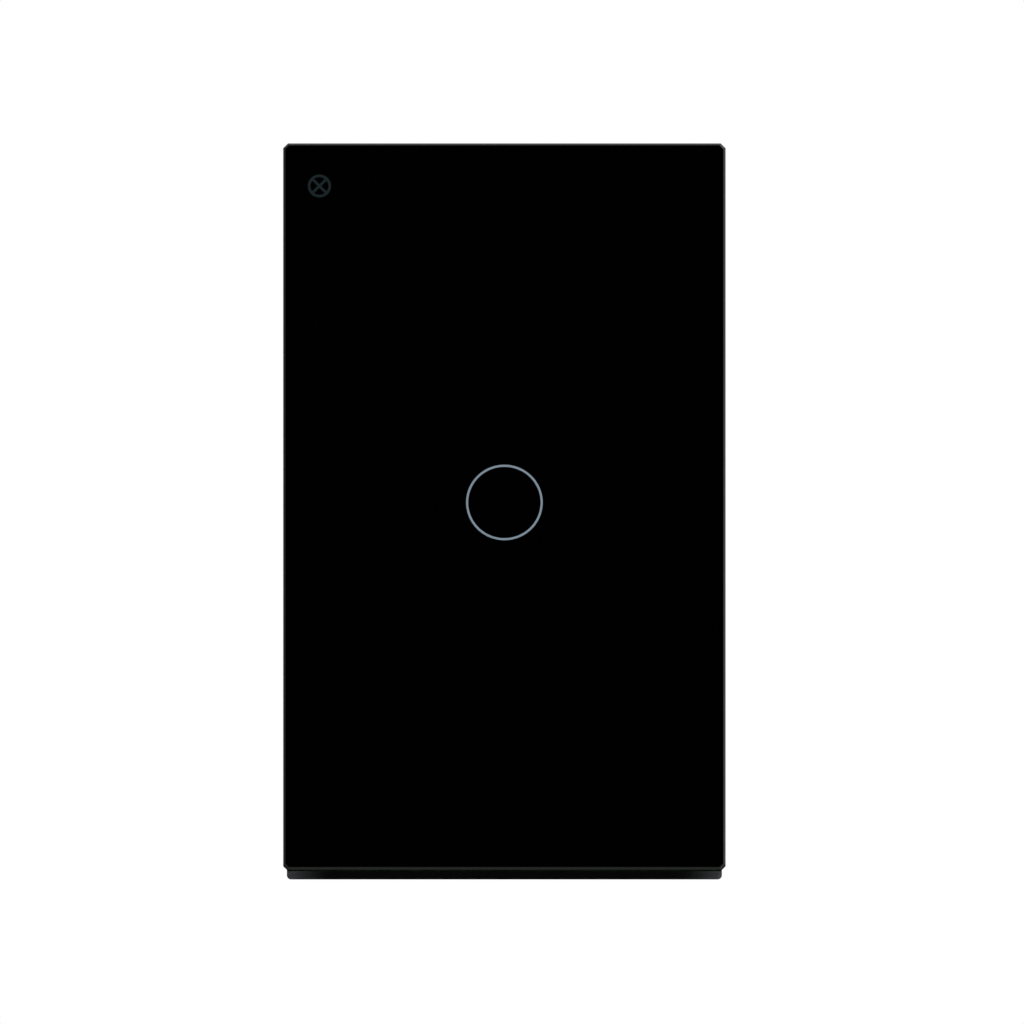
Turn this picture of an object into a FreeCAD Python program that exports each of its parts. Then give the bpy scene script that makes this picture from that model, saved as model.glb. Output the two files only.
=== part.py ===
import FreeCAD, Part
import math
import os

# A touch light switch for one lamp circuit: a removable glass front on a plastic frame, clipped over
# a mounting plate, with the electronics in a housing that sinks into the wall box behind it.
# Sizes are in millimetres. +Z runs up the wall, the glass faces -Y, and the wall is the plane y = 0.
# The origin lies on that plane, midway between the two mounting slots.

# Glass panel
glass_width = 72.0
glass_height = 120.0
glass_thickness = 2.0
glass_corner_cut = 0.8
glass_front_bevel = 0.35
glass_back_bevel = 0.15
glass_arris = 0.08
panel_depth = 12.0

# The touch ring and the lamp symbol, enamel in shallow grooves in the glass, and the ink behind it,
# which is left open behind them
enamel_depth = 0.15
ink_thickness = 0.15
ink_margin = 0.4
ring_rise = 0.6
ring_radius = 6.07
ring_line = 0.35
symbol_side_margin = 5.9
symbol_top_margin = 7.1
symbol_radius = 1.9
symbol_line = 0.45

# Adhesive tape between the ink and the frame
tape_thickness = 0.3
tape_margin = 2.0

# Panel frame
frame_side_inset = 0.6
frame_end_inset = 0.3
frame_wall = 1.6
frame_web = 1.2
frame_corner = 0.7
frame_inner_corner = 0.6
frame_rear_round = 0.3
frame_wall_gap = 0.4
web_window_width = 48.0
web_window_height = 76.0
web_window_corner = 4.0
hook_thickness = 1.6
hook_width = 8.0
hook_side_margin = 6.4
hook_rise = 33.0
hook_tip_gap = 0.6
hook_lead_in = 0.4
hook_bump = 0.35
pry_notch_width = 12.0
pry_notch_depth = 1.6

# Mounting plate
plate_clearance = 0.25
plate_corner = 1.0
plate_web = 2.0
rim_thickness = 1.4
rim_gap = 0.4
slot_spacing = 83.3
slot_width = 4.4
slot_length = 7.4
land_margin = 3.4
land_height = 0.8
hook_clearance = 0.3
plate_boss_radius = 3.0
plate_boss_height = 3.4
board_post_radius = 2.4
board_post_height = 2.6
rib_thickness = 1.0
rib_height = 1.6
rib_gap = 2.0
lug_length = 18.0
lug_thickness = 1.0
lug_height = 1.4
lug_clearance = 0.1
peg_radius = 1.0
peg_inset = 1.8
peg_rise = 10.0
pilot_end_gap = 0.4
rim_seat_depth = 0.3
thread_clearance = 0.05

# Rear housing
housing_height = 66.0
housing_wall = 1.6
housing_corner = 3.0
housing_back_round = 0.8
housing_air_gap = 1.6
step_clearance = 0.3
screw_inset = 3.9
housing_boss_radius = 3.6
screw_well_radius = 2.6
screw_seat_depth = 8.0
shelf_thickness = 1.2
shelf_reach = 1.3
shelf_rise = 18.0
vent_count = 5
vent_pitch = 4.2
vent_width = 1.6
vent_front = 8.0
vent_length = 10.0
label_width = 30.0
label_height = 30.0
label_recess = 0.3
label_corner = 1.5

# Screws
housing_screw_radius = 1.3
housing_screw_length = 12.0
housing_screw_head_radius = 2.3
housing_screw_head_height = 1.7
housing_screw_recess = 1.1
board_screw_radius = 1.0
board_screw_length = 3.4
board_screw_head_radius = 1.9
board_screw_head_height = 1.3
board_screw_recess = 0.8
screw_hole_clearance = 0.2
recess_share = 0.62
recess_blade = 0.6

# Touch board and the pieces on its front
touch_board_width = 44.0
touch_board_height = 51.0
touch_board_thickness = 1.2
board_corner = 1.0
board_screw_inset = 3.2
guide_outer_radius = 7.8
guide_inner_radius = 4.5
guide_gap = 0.3
groove_outer_radius = 7.0
groove_inner_radius = 5.2
groove_depth = 1.5
led_length = 1.6
led_width = 0.8
led_height = 0.9
led_count = 4
spring_wire_radius = 0.15
spring_foot_radius = 1.7
spring_head_radius = 3.6
spring_turn_count = 3
spring_gap = 0.1
spring_bend = 0.5
radio_width = 16.0
radio_height = 17.0
radio_thickness = 0.8
radio_guide_gap = 0.5
radio_side_margin = 4.0
shield_width = 13.0
shield_height = 11.0
shield_depth = 1.9
shield_wall = 0.2
shield_corner = 0.8
shield_margin = 1.2
touch_chip_width = 3.9
touch_chip_length = 9.9
touch_chip_height = 1.4
touch_chip_side_margin = 6.0
touch_chip_rise = -11.5
touch_chip_leg_count = 7
chip_standoff = 0.1
chip_leg_reach = 1.0
chip_leg_width = 0.4
chip_leg_pitch = 1.27
chip_leg_thickness = 0.2
part_length = 1.6
part_width = 0.8
part_height = 0.6
part_pitch = 2.0
part_row_pitch = 3.0
chip_part_grid = (3, 3)
left_part_grid = (4, 2)
right_part_grid = (5, 2)

# Connector between the two boards
header_pin_count = 6
header_pitch = 2.54
header_edge_margin = 3.6
header_width = 2.5
header_height = 1.6
socket_header_gap = 0.1
pin_half = 0.3
pin_clearance = 0.1
pin_engagement = 3.0
pin_front_tail = 0.8
contact_tail = 0.5

# Power board
power_board_gap = 3.0
power_board_thickness = 1.6
power_board_clearance = 0.6
power_corner_clearance = 0.5
lead_tail = 1.0
lead_radius = 0.3
lead_clearance = 0.1
component_gap = 1.2

# Insulating sheet behind the mounting plate
sheet_thickness = 0.4
sheet_gap = 0.5
sheet_corner = 2.0
sheet_hole_margin = 0.8

# Terminal block, with one rising cage clamp to each pole
pole_count = 3
pole_pitch = 7.62
terminal_end_wall = 1.0
terminal_clearance = 0.2
terminal_front_wall = 2.8
terminal_rear_wall = 1.8
terminal_head_cover = 0.5
chamber_clearance = 0.1
chamber_end_gap = 0.2
cage_width = 5.0
cage_length = 5.2
cage_wall = 0.7
cage_floor = 0.7
cage_nut = 1.4
cage_floor_gap = 0.3
wire_window = 4.0
clamp_travel = 3.0
clamp_head_gap = 0.5
bar_thickness = 0.8
bar_clearance = 0.1
bar_pin_half = 0.5
bar_hole_clearance = 0.15
terminal_screw_radius = 1.5
terminal_screw_head_radius = 2.3
terminal_screw_head_height = 1.8
terminal_screw_recess = 1.0
terminal_well_clearance = 0.15
access_hole_radius = 2.5
funnel_side = 0.3
funnel_overlap = 0.4

# Relay
relay_wall = 0.8
relay_air_gap = 1.0
relay_fit = 0.05
relay_base_thickness = 0.8
yoke_thickness = 0.8
yoke_side_thickness = 1.0
yoke_width = 9.0
yoke_top_gap = 0.08
coil_spool_width = 11.9
coil_spool_length = 10.4
coil_flange = 0.7
coil_height = 8.8
coil_tube_radius = 2.2
coil_winding_radius = 4.8
core_radius = 1.7
core_head_radius = 3.0
core_head_height = 0.6
armature_width = 9.0
armature_thickness = 1.0
armature_overhang = 3.4
armature_open_angle = 4.0
pole_gap = 0.05
blade_width = 5.0
blade_thickness = 0.3
blade_root = 4.0
blade_margin = 0.4
contact_radius = 1.2
contact_height = 0.8
contact_gap_closed = 0.05
contact_coil_gap = 0.4
fixed_contact_height = 0.7
fixed_strip_thickness = 0.5
fixed_strip_width = 3.0
relay_pin_half = 0.4
coil_pin_spread = 5.4

# Transformer
transformer_width = 12.6
transformer_height = 12.0
core_stack = 6.0
core_leg = 2.5
core_centre_leg = 3.4
bobbin_rail_height = 1.6
bobbin_rail_length = 12.4
bobbin_wall = 0.6
winding_swell = 2.4
transformer_pin_count = 4
transformer_pin_pitch = 3.0

# Other components on the power board
filter_cap_radius = 5.0
filter_cap_height = 13.0
filter_cap_count = 2
output_cap_radius = 3.15
output_cap_height = 9.0
cap_groove = 0.35
cap_waist_rise = 1.1
cap_lead_pitch = 5.0
output_cap_lead_pitch = 2.5
safety_cap_width = 13.0
safety_cap_depth = 6.0
safety_cap_height = 11.5
safety_cap_corner = 0.5
safety_cap_lead_pitch = 10.0
varistor_radius = 4.2
varistor_thickness = 3.6
varistor_standoff = 1.2
varistor_round = 0.9
varistor_lead_reach = 1.0
varistor_lead_pitch = 5.0
fuse_radius = 1.6
fuse_length = 8.4
fuse_end_round = 0.5
fuse_lead_pitch = 11.0
choke_radius = 2.4
choke_height = 7.5
choke_flange = 0.8
choke_waist_radius = 1.6
choke_lead_pitch = 2.5
rectifier_width = 2.8
rectifier_length = 4.0
rectifier_height = 2.4
rectifier_leg_count = 2
power_chip_width = 4.0
power_chip_length = 5.0
power_chip_height = 1.4
power_chip_leg_count = 3
opto_width = 2.8
opto_length = 4.6
opto_height = 3.4
opto_leg_count = 2
regulator_width = 3.5
regulator_length = 6.5
regulator_height = 1.6
regulator_leg_count = 3
regulator_offset = 4.6
opto_part_grid = (3, 3)
regulator_part_grid = (4, 2)

Vector = FreeCAD.Vector
TINY = 1e-3
BEYOND = 1.0

# Depths, from the glass at the front to the back of the housing
glass_front = -panel_depth
glass_back = glass_front + glass_thickness
ink_back = glass_back + ink_thickness
tape_back = ink_back + tape_thickness
web_back = tape_back + frame_web
frame_back = -frame_wall_gap
rim_front = web_back + rim_gap
plate_front = -plate_web
touch_back = plate_front - board_post_height
touch_front = touch_back - touch_board_thickness
power_front = power_board_gap
power_back = power_front + power_board_thickness

# Widths and heights
frame_width = glass_width - 2 * frame_side_inset
frame_height = glass_height - 2 * frame_end_inset
plate_width = frame_width - 2 * (frame_wall + plate_clearance)
plate_height = frame_height - 2 * (frame_wall + plate_clearance)
side_clearance = shelf_reach + component_gap / 2
relay_width = coil_spool_width + 2 * (relay_air_gap + relay_wall)
lower_row_width = relay_width + transformer_width + 2 * (output_cap_radius + component_gap)
inner_width = lower_row_width + 2 * side_clearance
inner_height = housing_height - 2 * housing_wall
inner_bottom = -inner_height / 2
housing_width = inner_width + 2 * housing_wall
hook_x = frame_width / 2 - hook_side_margin
screw_x = housing_width / 2 - screw_inset
screw_z = housing_height / 2 - screw_inset
board_screw_x = touch_board_width / 2 - board_screw_inset
board_screw_z = touch_board_height / 2 - board_screw_inset
touch_chip_x = touch_board_width / 2 - touch_chip_side_margin - touch_chip_width / 2
header_z = touch_board_height / 2 - header_edge_margin
header_length = header_pin_count * header_pitch
peg_x = inner_width / 2 - peg_inset
symbol_x = symbol_side_margin - glass_width / 2
symbol_z = glass_height / 2 - symbol_top_margin

# Heights inside the terminal block
cage_bottom = power_back + cage_floor_gap
window_bottom = cage_bottom + cage_floor
bar_bottom = window_bottom + wire_window
bar_top = bar_bottom + bar_thickness
cage_ceiling = bar_top + bar_clearance
cage_top = cage_ceiling + cage_nut
chamber_top = cage_top + clamp_travel + clamp_head_gap
terminal_head_top = chamber_top + terminal_screw_head_height
terminal_top = terminal_head_top + terminal_head_cover
terminal_bottom_z = inner_bottom + terminal_clearance
chamber_bottom_z = terminal_bottom_z + terminal_front_wall
chamber_top_z = chamber_bottom_z + cage_length + 2 * chamber_end_gap
terminal_top_z = chamber_top_z + bar_thickness + terminal_rear_wall
terminal_screw_z = (chamber_bottom_z + chamber_top_z) / 2
terminal_half_width = pole_count * pole_pitch / 2 + terminal_end_wall
bar_width = cage_width - 2 * (cage_wall + bar_clearance)

# Places inside the relay, from its foot up
relay_bottom_z = terminal_top_z + component_gap
strip_z = relay_bottom_z + relay_wall + relay_air_gap + fixed_strip_thickness / 2
contact_z = strip_z + fixed_strip_thickness / 2 + contact_radius
coil_z = contact_z + contact_radius + contact_coil_gap + coil_spool_length / 2
hinge_z = coil_z + coil_spool_length / 2 + relay_fit + yoke_side_thickness / 2
yoke_back_z = hinge_z + yoke_side_thickness / 2
relay_top_z = yoke_back_z + relay_air_gap + relay_wall
relay_length = relay_top_z - relay_bottom_z
relay_z = (relay_bottom_z + relay_top_z) / 2
blade_tip_z = contact_z - contact_radius - blade_margin
relay_base_top = power_back + relay_base_thickness
spool_bottom = relay_base_top + yoke_thickness
spool_top = spool_bottom + coil_height
pole_face = spool_top + core_head_height
armature_front = pole_face + pole_gap
blade_front = armature_front + armature_thickness
fixed_contact_top = blade_front - contact_height - contact_gap_closed
blade_swing = (hinge_z - blade_tip_z) * math.sin(math.radians(armature_open_angle))
relay_back = blade_front + blade_thickness + blade_swing + relay_air_gap + relay_wall

# Places of the other components on the power board
relay_x = side_clearance + relay_width / 2 - inner_width / 2
transformer_x = relay_x + (relay_width + transformer_width) / 2 + component_gap
transformer_z = relay_bottom_z + bobbin_rail_length / 2
transformer_top_z = transformer_z + bobbin_rail_length / 2
right_edge = inner_width / 2 - side_clearance
output_cap_x = right_edge - output_cap_radius
output_cap_z = transformer_z
filter_cap_x = right_edge - filter_cap_radius
filter_cap_z = transformer_top_z + component_gap + filter_cap_radius
filter_cap_pitch = 2 * filter_cap_radius + component_gap
safety_cap_x = side_clearance + safety_cap_width / 2 - inner_width / 2
safety_cap_z = relay_top_z + component_gap + safety_cap_depth / 2
varistor_x = safety_cap_x
varistor_z = safety_cap_z + safety_cap_depth / 2 + component_gap + varistor_thickness / 2
fuse_x = safety_cap_x
fuse_z = varistor_z + varistor_thickness / 2 + component_gap + fuse_radius
left_chips_x = safety_cap_x + safety_cap_width / 2 + component_gap + power_chip_width / 2 + chip_leg_reach
power_chip_z = relay_top_z + component_gap + power_chip_length / 2
rectifier_z = power_chip_z + (power_chip_length + rectifier_length) / 2 + component_gap
right_chips_x = filter_cap_x - filter_cap_radius - component_gap - opto_width / 2 - chip_leg_reach
opto_z = transformer_top_z + component_gap + opto_length / 2
choke_z = filter_cap_z + filter_cap_pitch
regulator_z = header_z + pin_half + component_gap + regulator_length / 2
transformer_back = power_back + bobbin_rail_height + transformer_height
filter_cap_back = power_back + filter_cap_height

# The housing's depth follows the tallest component, and its step the terminal block
housing_depth = max(relay_back, transformer_back, filter_cap_back) + housing_air_gap + housing_wall
step_back = terminal_top + step_clearance + housing_wall
step_top = relay_bottom_z - step_clearance - housing_wall


def box(x0, x1, y0, y1, z0, z1):
    return Part.makeBox(x1 - x0, y1 - y0, z1 - z0, Vector(x0, y0, z0))


def centred(width, height, y0, y1, x=0.0, z=0.0):
    return box(x - width / 2, x + width / 2, y0, y1, z - height / 2, z + height / 2)


def rod(x, z, radius, y0, y1):
    low, high = min(y0, y1), max(y0, y1)
    return Part.makeCylinder(radius, high - low, Vector(x, low, z), Vector(0, 1, 0))


def tube(x, z, outer, inner, y0, y1):
    return rod(x, z, outer, y0, y1).cut(rod(x, z, inner, y0 - BEYOND, y1 + BEYOND))


def edges_along_depth(shape):
    return [e for e in shape.Edges if is_along_depth(e)]


def is_along_depth(edge):
    ends = [v.Point for v in edge.Vertexes]
    if len(ends) != 2:
        return False
    return abs(ends[0].x - ends[1].x) < TINY and abs(ends[0].z - ends[1].z) < TINY


def edges_at_depth(shape, y):
    return [e for e in shape.Edges if all(abs(v.Point.y - y) < TINY for v in e.Vertexes)]


def rounded(width, height, corner, y0, y1, x=0.0, z=0.0):
    plate = centred(width, height, y0, y1, x, z)
    return plate.makeFillet(corner, edges_along_depth(plate))


def upright_slot(width, length, y0, y1, x, z):
    half = (length - width) / 2
    ends = [rod(x, z + side * half, width / 2, y0, y1) for side in (-1, 1)]
    return join([centred(width, length - width, y0, y1, x, z)] + ends)


def join(shapes):
    return shapes[0].multiFuse(shapes[1:]).removeSplitter()


def corners():
    return [(side, end) for side in (-1, 1) for end in (-1, 1)]


def row(count, pitch):
    return [(i - (count - 1) / 2) * pitch for i in range(count)]


def save(name, shapes):
    group = shapes if isinstance(shapes, list) else [shapes]
    solids = [solid for shape in group for solid in shape.Solids]
    whole = solids[0] if len(solids) == 1 else Part.makeCompound(solids)
    whole.exportStep(os.path.join("parts", name + ".step"))
    faults = [solid for solid in solids if not solid.isValid()]
    print(f"{name}: {len(solids)} solids, {whole.Volume:.1f} mm3, {len(faults)} faults")


# Glass front

def ring_shape(y0, y1):
    outer = ring_radius + ring_line / 2
    return tube(0, ring_rise, outer, outer - ring_line, y0, y1)


def symbol_shape(y0, y1):
    # a ring crossed by two diagonals, the usual sign for a lamp in wiring diagrams
    ring = tube(symbol_x, symbol_z, symbol_radius, symbol_radius - symbol_line, y0, y1)
    reach = 2 * symbol_radius - symbol_line
    centre = Vector(symbol_x, 0, symbol_z)
    bars = []
    for angle in (45, 135):
        bar = centred(reach, symbol_line, y0, y1, symbol_x, symbol_z)
        bar.rotate(centre, Vector(0, 1, 0), angle)
        bars.append(bar)
    return join([ring] + bars)


def make_glass_panel():
    plate = centred(glass_width, glass_height, glass_front, glass_back)
    plate = plate.makeChamfer(glass_corner_cut, edges_along_depth(plate))
    plate = plate.makeChamfer(glass_front_bevel, edges_at_depth(plate, glass_front))
    plate = plate.makeChamfer(glass_back_bevel, edges_at_depth(plate, glass_back))
    plate = plate.makeFillet(glass_arris, edges_at_depth(plate, glass_front))
    return plate.cut([make_touch_ring(), make_lamp_symbol()])


def make_touch_ring():
    return ring_shape(glass_front, glass_front + enamel_depth)


def make_lamp_symbol():
    return symbol_shape(glass_front, glass_front + enamel_depth)


def make_ink_layer():
    width = glass_width - 2 * ink_margin
    height = glass_height - 2 * ink_margin
    layer = rounded(width, height, glass_corner_cut, glass_back, ink_back)
    return layer.cut([ring_shape(glass_back, ink_back), symbol_shape(glass_back, ink_back)])


def make_panel_tape():
    outer = rounded(
        frame_width - 2 * tape_margin, frame_height - 2 * tape_margin, frame_corner, ink_back, tape_back
    )
    hole = rounded(
        web_window_width + 2 * tape_margin,
        web_window_height + 2 * tape_margin,
        web_window_corner,
        ink_back - BEYOND,
        tape_back + BEYOND,
    )
    return outer.cut(hole)


def make_hook(side, end):
    tip = -hook_tip_gap
    x, z = side * hook_x, end * hook_rise
    root = web_back - frame_web / 2
    tongue = centred(hook_thickness, hook_width, root, tip, x, z)
    tongue = tongue.makeChamfer(hook_lead_in, edges_at_depth(tongue, tip))
    bump_depth = tip - hook_lead_in - 2 * hook_bump
    centre_x = x + side * hook_thickness / 2
    bump = Part.makeCylinder(
        hook_bump, hook_width / 2, Vector(centre_x, bump_depth, z - hook_width / 4), Vector(0, 0, 1)
    )
    return join([tongue, bump])


def make_panel_frame():
    outer = rounded(frame_width, frame_height, frame_corner, tape_back, frame_back)
    outer = outer.makeFillet(frame_rear_round, edges_at_depth(outer, frame_back))
    hollow = rounded(
        frame_width - 2 * frame_wall,
        frame_height - 2 * frame_wall,
        frame_inner_corner,
        web_back,
        frame_back + BEYOND,
    )
    window = rounded(
        web_window_width, web_window_height, web_window_corner, tape_back - BEYOND, web_back + BEYOND
    )
    notch = centred(
        pry_notch_width,
        2 * frame_wall + BEYOND,
        frame_back - pry_notch_depth,
        frame_back + BEYOND,
        0,
        frame_height / 2,
    )
    shell = outer.cut([hollow, window, notch])
    return join([shell] + [make_hook(side, end) for side, end in corners()])


# Mounting plate

def hook_slot(side, end):
    inner = hook_x - hook_thickness / 2 - hook_clearance
    outer = hook_x + hook_thickness / 2 + hook_bump + hook_clearance
    width = outer - inner
    height = hook_width + 2 * hook_clearance
    x = side * (inner + outer) / 2
    return centred(width, height, plate_front - BEYOND, BEYOND, x, end * hook_rise)


def header_window():
    width = header_length + 2 * sheet_hole_margin
    height = header_width + 2 * sheet_hole_margin
    return centred(width, height, plate_front - BEYOND, sheet_thickness + BEYOND, 0, header_z)


def rim_seat():
    # a shallow groove that takes the rim of the rear housing
    depth = -rim_seat_depth
    grown = 2 * lug_clearance
    outer = rounded(housing_width + grown, housing_height + grown, housing_corner, depth, BEYOND)
    corner = housing_corner - housing_wall
    inner = rounded(inner_width - grown, inner_height - grown, corner, depth - BEYOND, 2 * BEYOND)
    return outer.cut(inner)


def locating_lugs():
    reach_x = inner_width / 2 - lug_clearance - lug_thickness / 2
    reach_z = inner_height / 2 - lug_clearance - lug_thickness / 2
    sides = [
        centred(lug_thickness, lug_length, 0, lug_height, side * reach_x, 0) for side in (-1, 1)
    ]
    ends = [
        centred(lug_length, lug_thickness, 0, lug_height, 0, end * reach_z) for end in (-1, 1)
    ]
    return sides + ends


def plate_ribs():
    x = touch_board_width / 2 + rib_gap
    z = screw_z + plate_boss_radius + rib_gap
    front = plate_front - rib_height
    upright = [centred(rib_thickness, 2 * z, front, plate_front, side * x, 0) for side in (-1, 1)]
    level = [
        centred(2 * x + rib_thickness, rib_thickness, front, plate_front, 0, end * z)
        for end in (-1, 1)
    ]
    return upright + level


def make_mounting_plate():
    web = rounded(plate_width, plate_height, plate_corner, plate_front, 0)
    rim = rounded(plate_width, plate_height, plate_corner, rim_front, 0)
    rim_hollow = rounded(
        plate_width - 2 * rim_thickness,
        plate_height - 2 * rim_thickness,
        plate_corner,
        rim_front - BEYOND,
        BEYOND,
    )
    boss_front = plate_front - plate_boss_height
    solids = [web, rim.cut(rim_hollow)] + locating_lugs() + plate_ribs()
    holes = [header_window(), rim_seat()]
    for side, end in corners():
        x, z = side * screw_x, end * screw_z
        solids.append(rod(x, z, plate_boss_radius, boss_front, 0))
        screw_tip = screw_seat_depth - housing_screw_length
        pilot = housing_screw_radius + thread_clearance
        holes.append(rod(x, z, pilot, screw_tip - pilot_end_gap, BEYOND))
        holes.append(hook_slot(side, end))
        solids.append(
            rod(side * board_screw_x, end * board_screw_z, board_post_radius, touch_back, 0)
        )
        solids.append(rod(side * peg_x, end * peg_rise, peg_radius, 0, power_front))
    for side in (-1, 1):
        pilot = board_screw_radius + thread_clearance
        tip = touch_front + board_screw_length + pilot_end_gap
        holes.append(
            rod(side * board_screw_x, -side * board_screw_z, pilot, touch_back - BEYOND, tip)
        )
        z = side * slot_spacing / 2
        land_front = plate_front - land_height
        solids.append(
            upright_slot(
                slot_width + 2 * land_margin, slot_length + 2 * land_margin, land_front, 0, 0, z
            )
        )
        holes.append(
            upright_slot(slot_width, slot_length, land_front - BEYOND, BEYOND, 0, z)
        )
    return join(solids).cut(holes)


# Rear housing

def make_rear_housing():
    full = rounded(housing_width, housing_height, housing_corner, -rim_seat_depth, housing_depth)
    wide = housing_width + 2 * BEYOND
    low = -housing_height / 2 - BEYOND
    step = box(-wide / 2, wide / 2, step_back, housing_depth + BEYOND, low, step_top)
    outer = full.cut(step)
    outer = outer.makeFillet(housing_back_round, edges_at_depth(outer, housing_depth))
    cavity = rounded(
        inner_width,
        inner_height,
        housing_corner - housing_wall,
        -BEYOND,
        housing_depth - housing_wall,
    )
    shelf_back = box(
        -wide / 2, wide / 2, step_back - housing_wall, housing_depth, low, step_top + housing_wall
    )
    shell = outer.cut(cavity.cut(shelf_back))
    inside = [rod(s * screw_x, e * screw_z, housing_boss_radius, 0, housing_depth) for s, e in corners()]
    inside += board_shelves()
    shell = join([shell] + [piece.common(outer) for piece in inside])
    return shell.cut(housing_holes())


def board_shelves():
    shelves = []
    for side, end in corners():
        inner = inner_width / 2 - shelf_reach
        outer = (inner_width + housing_wall) / 2
        x = side * (inner + outer) / 2
        z = end * shelf_rise
        shelves.append(centred(outer - inner, shelf_thickness, power_back, step_back, x, z))
    return shelves


def housing_holes():
    holes = []
    for side, end in corners():
        x, z = side * screw_x, end * screw_z
        holes.append(rod(x, z, screw_well_radius, screw_seat_depth, housing_depth + BEYOND))
        clear = housing_screw_radius + screw_hole_clearance
        holes.append(rod(x, z, clear, -BEYOND, screw_seat_depth + BEYOND))
    for x in row(pole_count, pole_pitch):
        holes.append(wire_hole(x))
        holes.append(
            rod(x, terminal_screw_z, access_hole_radius, terminal_top - BEYOND, step_back + BEYOND)
        )
    for z in row(vent_count, vent_pitch):
        for side in (-1, 1):
            holes.append(
                centred(
                    2 * (housing_wall + BEYOND),
                    vent_width,
                    vent_front,
                    vent_front + vent_length,
                    side * housing_width / 2,
                    z,
                )
            )
    label_z = (step_top + housing_height / 2) / 2
    holes.append(
        rounded(
            label_width,
            label_height,
            label_corner,
            housing_depth - label_recess,
            housing_depth + BEYOND,
            0,
            label_z,
        )
    )
    return holes


def wire_hole(x):
    width = bar_width + 2 * (cage_wall + funnel_side)
    return box(
        x - width / 2,
        x + width / 2,
        window_bottom - funnel_overlap,
        bar_bottom + funnel_overlap,
        -housing_height / 2 - BEYOND,
        chamber_bottom_z + TINY,
    )


# Screws

def cross_recess(x, z, head_radius, y0, y1):
    reach = 2 * head_radius * recess_share
    blades = [
        centred(reach, recess_blade, y0, y1, x, z),
        centred(recess_blade, reach, y0, y1, x, z),
    ]
    return join(blades)


def pan_screw(x, z, seat, facing, radius, length, head_radius, head_height, recess):
    # facing is +1 for a head towards the back, and -1 for one towards the front
    top = seat + facing * head_height
    head = rod(x, z, head_radius, seat, top)
    head = head.makeFillet(head_height / 2, edges_at_depth(head, top))
    shank = rod(x, z, radius, seat - facing * length, seat)
    depths = sorted((top - facing * recess, top + facing * BEYOND))
    return join([head, shank]).cut(cross_recess(x, z, head_radius, *depths))


def make_housing_screws():
    return [
        pan_screw(
            side * screw_x,
            end * screw_z,
            screw_seat_depth,
            1,
            housing_screw_radius,
            housing_screw_length,
            housing_screw_head_radius,
            housing_screw_head_height,
            housing_screw_recess,
        )
        for side, end in corners()
    ]


def make_board_screws():
    return [
        pan_screw(
            side * board_screw_x,
            -side * board_screw_z,
            touch_front,
            -1,
            board_screw_radius,
            board_screw_length,
            board_screw_head_radius,
            board_screw_head_height,
            board_screw_recess,
        )
        for side in (-1, 1)
    ]


# Touch board

def header_holes(y0, y1):
    hole = pin_half + pin_clearance
    return [centred(2 * hole, 2 * hole, y0, y1, x, header_z) for x in row(header_pin_count, header_pitch)]


def make_touch_board():
    board = rounded(
        touch_board_width, touch_board_height, board_corner, touch_front, touch_back
    )
    holes = header_holes(touch_front - BEYOND, touch_back + BEYOND)
    clear = board_screw_radius + thread_clearance
    for side in (-1, 1):
        holes.append(
            rod(
                side * board_screw_x,
                -side * board_screw_z,
                clear,
                touch_front - BEYOND,
                touch_back + BEYOND,
            )
        )
    return board.cut(holes)


def make_light_guide():
    front = ink_back + guide_gap
    ring = tube(0, ring_rise, guide_outer_radius, guide_inner_radius, front, touch_front)
    groove = tube(
        0,
        ring_rise,
        groove_outer_radius,
        groove_inner_radius,
        touch_front - groove_depth,
        touch_front + BEYOND,
    )
    return ring.cut(groove)


def make_indicator_leds():
    leds = []
    middle = (groove_outer_radius + groove_inner_radius) / 2
    for i in range(led_count):
        led = centred(
            led_length, led_width, touch_front - led_height, touch_front, 0, ring_rise + middle
        )
        led.rotate(Vector(0, 0, ring_rise), Vector(0, 1, 0), (i + 0.5) * 360 / led_count)
        leds.append(led)
    return leds


def spring_point(turn):
    share = turn / spring_turn_count
    radius = spring_foot_radius + (spring_head_radius - spring_foot_radius) * share
    depth = spring_coil_back() + (spring_coil_front() - spring_coil_back()) * share
    angle = 2 * math.pi * turn
    return Vector(radius * math.cos(angle), depth, ring_rise + radius * math.sin(angle))


def spring_coil_back():
    return touch_front - 2 * spring_wire_radius - spring_bend


def spring_coil_front():
    return ink_back + spring_gap + 2 * spring_wire_radius + spring_bend


def spring_way(turn):
    angle = 2 * math.pi * turn
    growth = (spring_head_radius - spring_foot_radius) / (2 * math.pi * spring_turn_count)
    radius = spring_foot_radius + growth * angle
    advance = (spring_coil_front() - spring_coil_back()) / (2 * math.pi * spring_turn_count)
    across = growth * math.cos(angle) - radius * math.sin(angle)
    up = growth * math.sin(angle) + radius * math.cos(angle)
    return Vector(across, advance, up).normalize()


def biarc(start, start_way, end, end_way):
    """Two arcs that leave start along start_way, meet smoothly and reach end along end_way."""
    chord = end - start
    ways = start_way + end_way
    spread = 2 * (1 - start_way.dot(end_way))
    along = chord.dot(ways)
    reach = (-along + math.sqrt(along**2 + spread * chord.dot(chord))) / spread
    knot_a = start + start_way * reach
    knot_b = end - end_way * reach
    middle = (knot_a + knot_b) * 0.5
    return [arc_by_corner(start, knot_a, middle), arc_by_corner(middle, knot_b, end)]


def arc_by_corner(start, corner, end):
    half_chord = (end - start) * 0.5
    middle = start + half_chord
    rise = corner - middle
    side = half_chord.Length
    sagitta = side * math.tan(math.atan2(rise.Length, side) / 2)
    return Part.Arc(start, middle + rise.normalize() * sagitta, end).toShape()


def least_gap(path, wire_radius, apart):
    """The least clear gap between stretches of the wire that lie more than apart along it."""
    count = 600
    points = path.discretize(Number=count)
    skip = math.ceil(apart * count / path.Length)
    nearest = min(
        points[i].distanceToPoint(points[j]) for i in range(count) for j in range(i + skip, count)
    )
    return nearest - 2 * wire_radius


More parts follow.
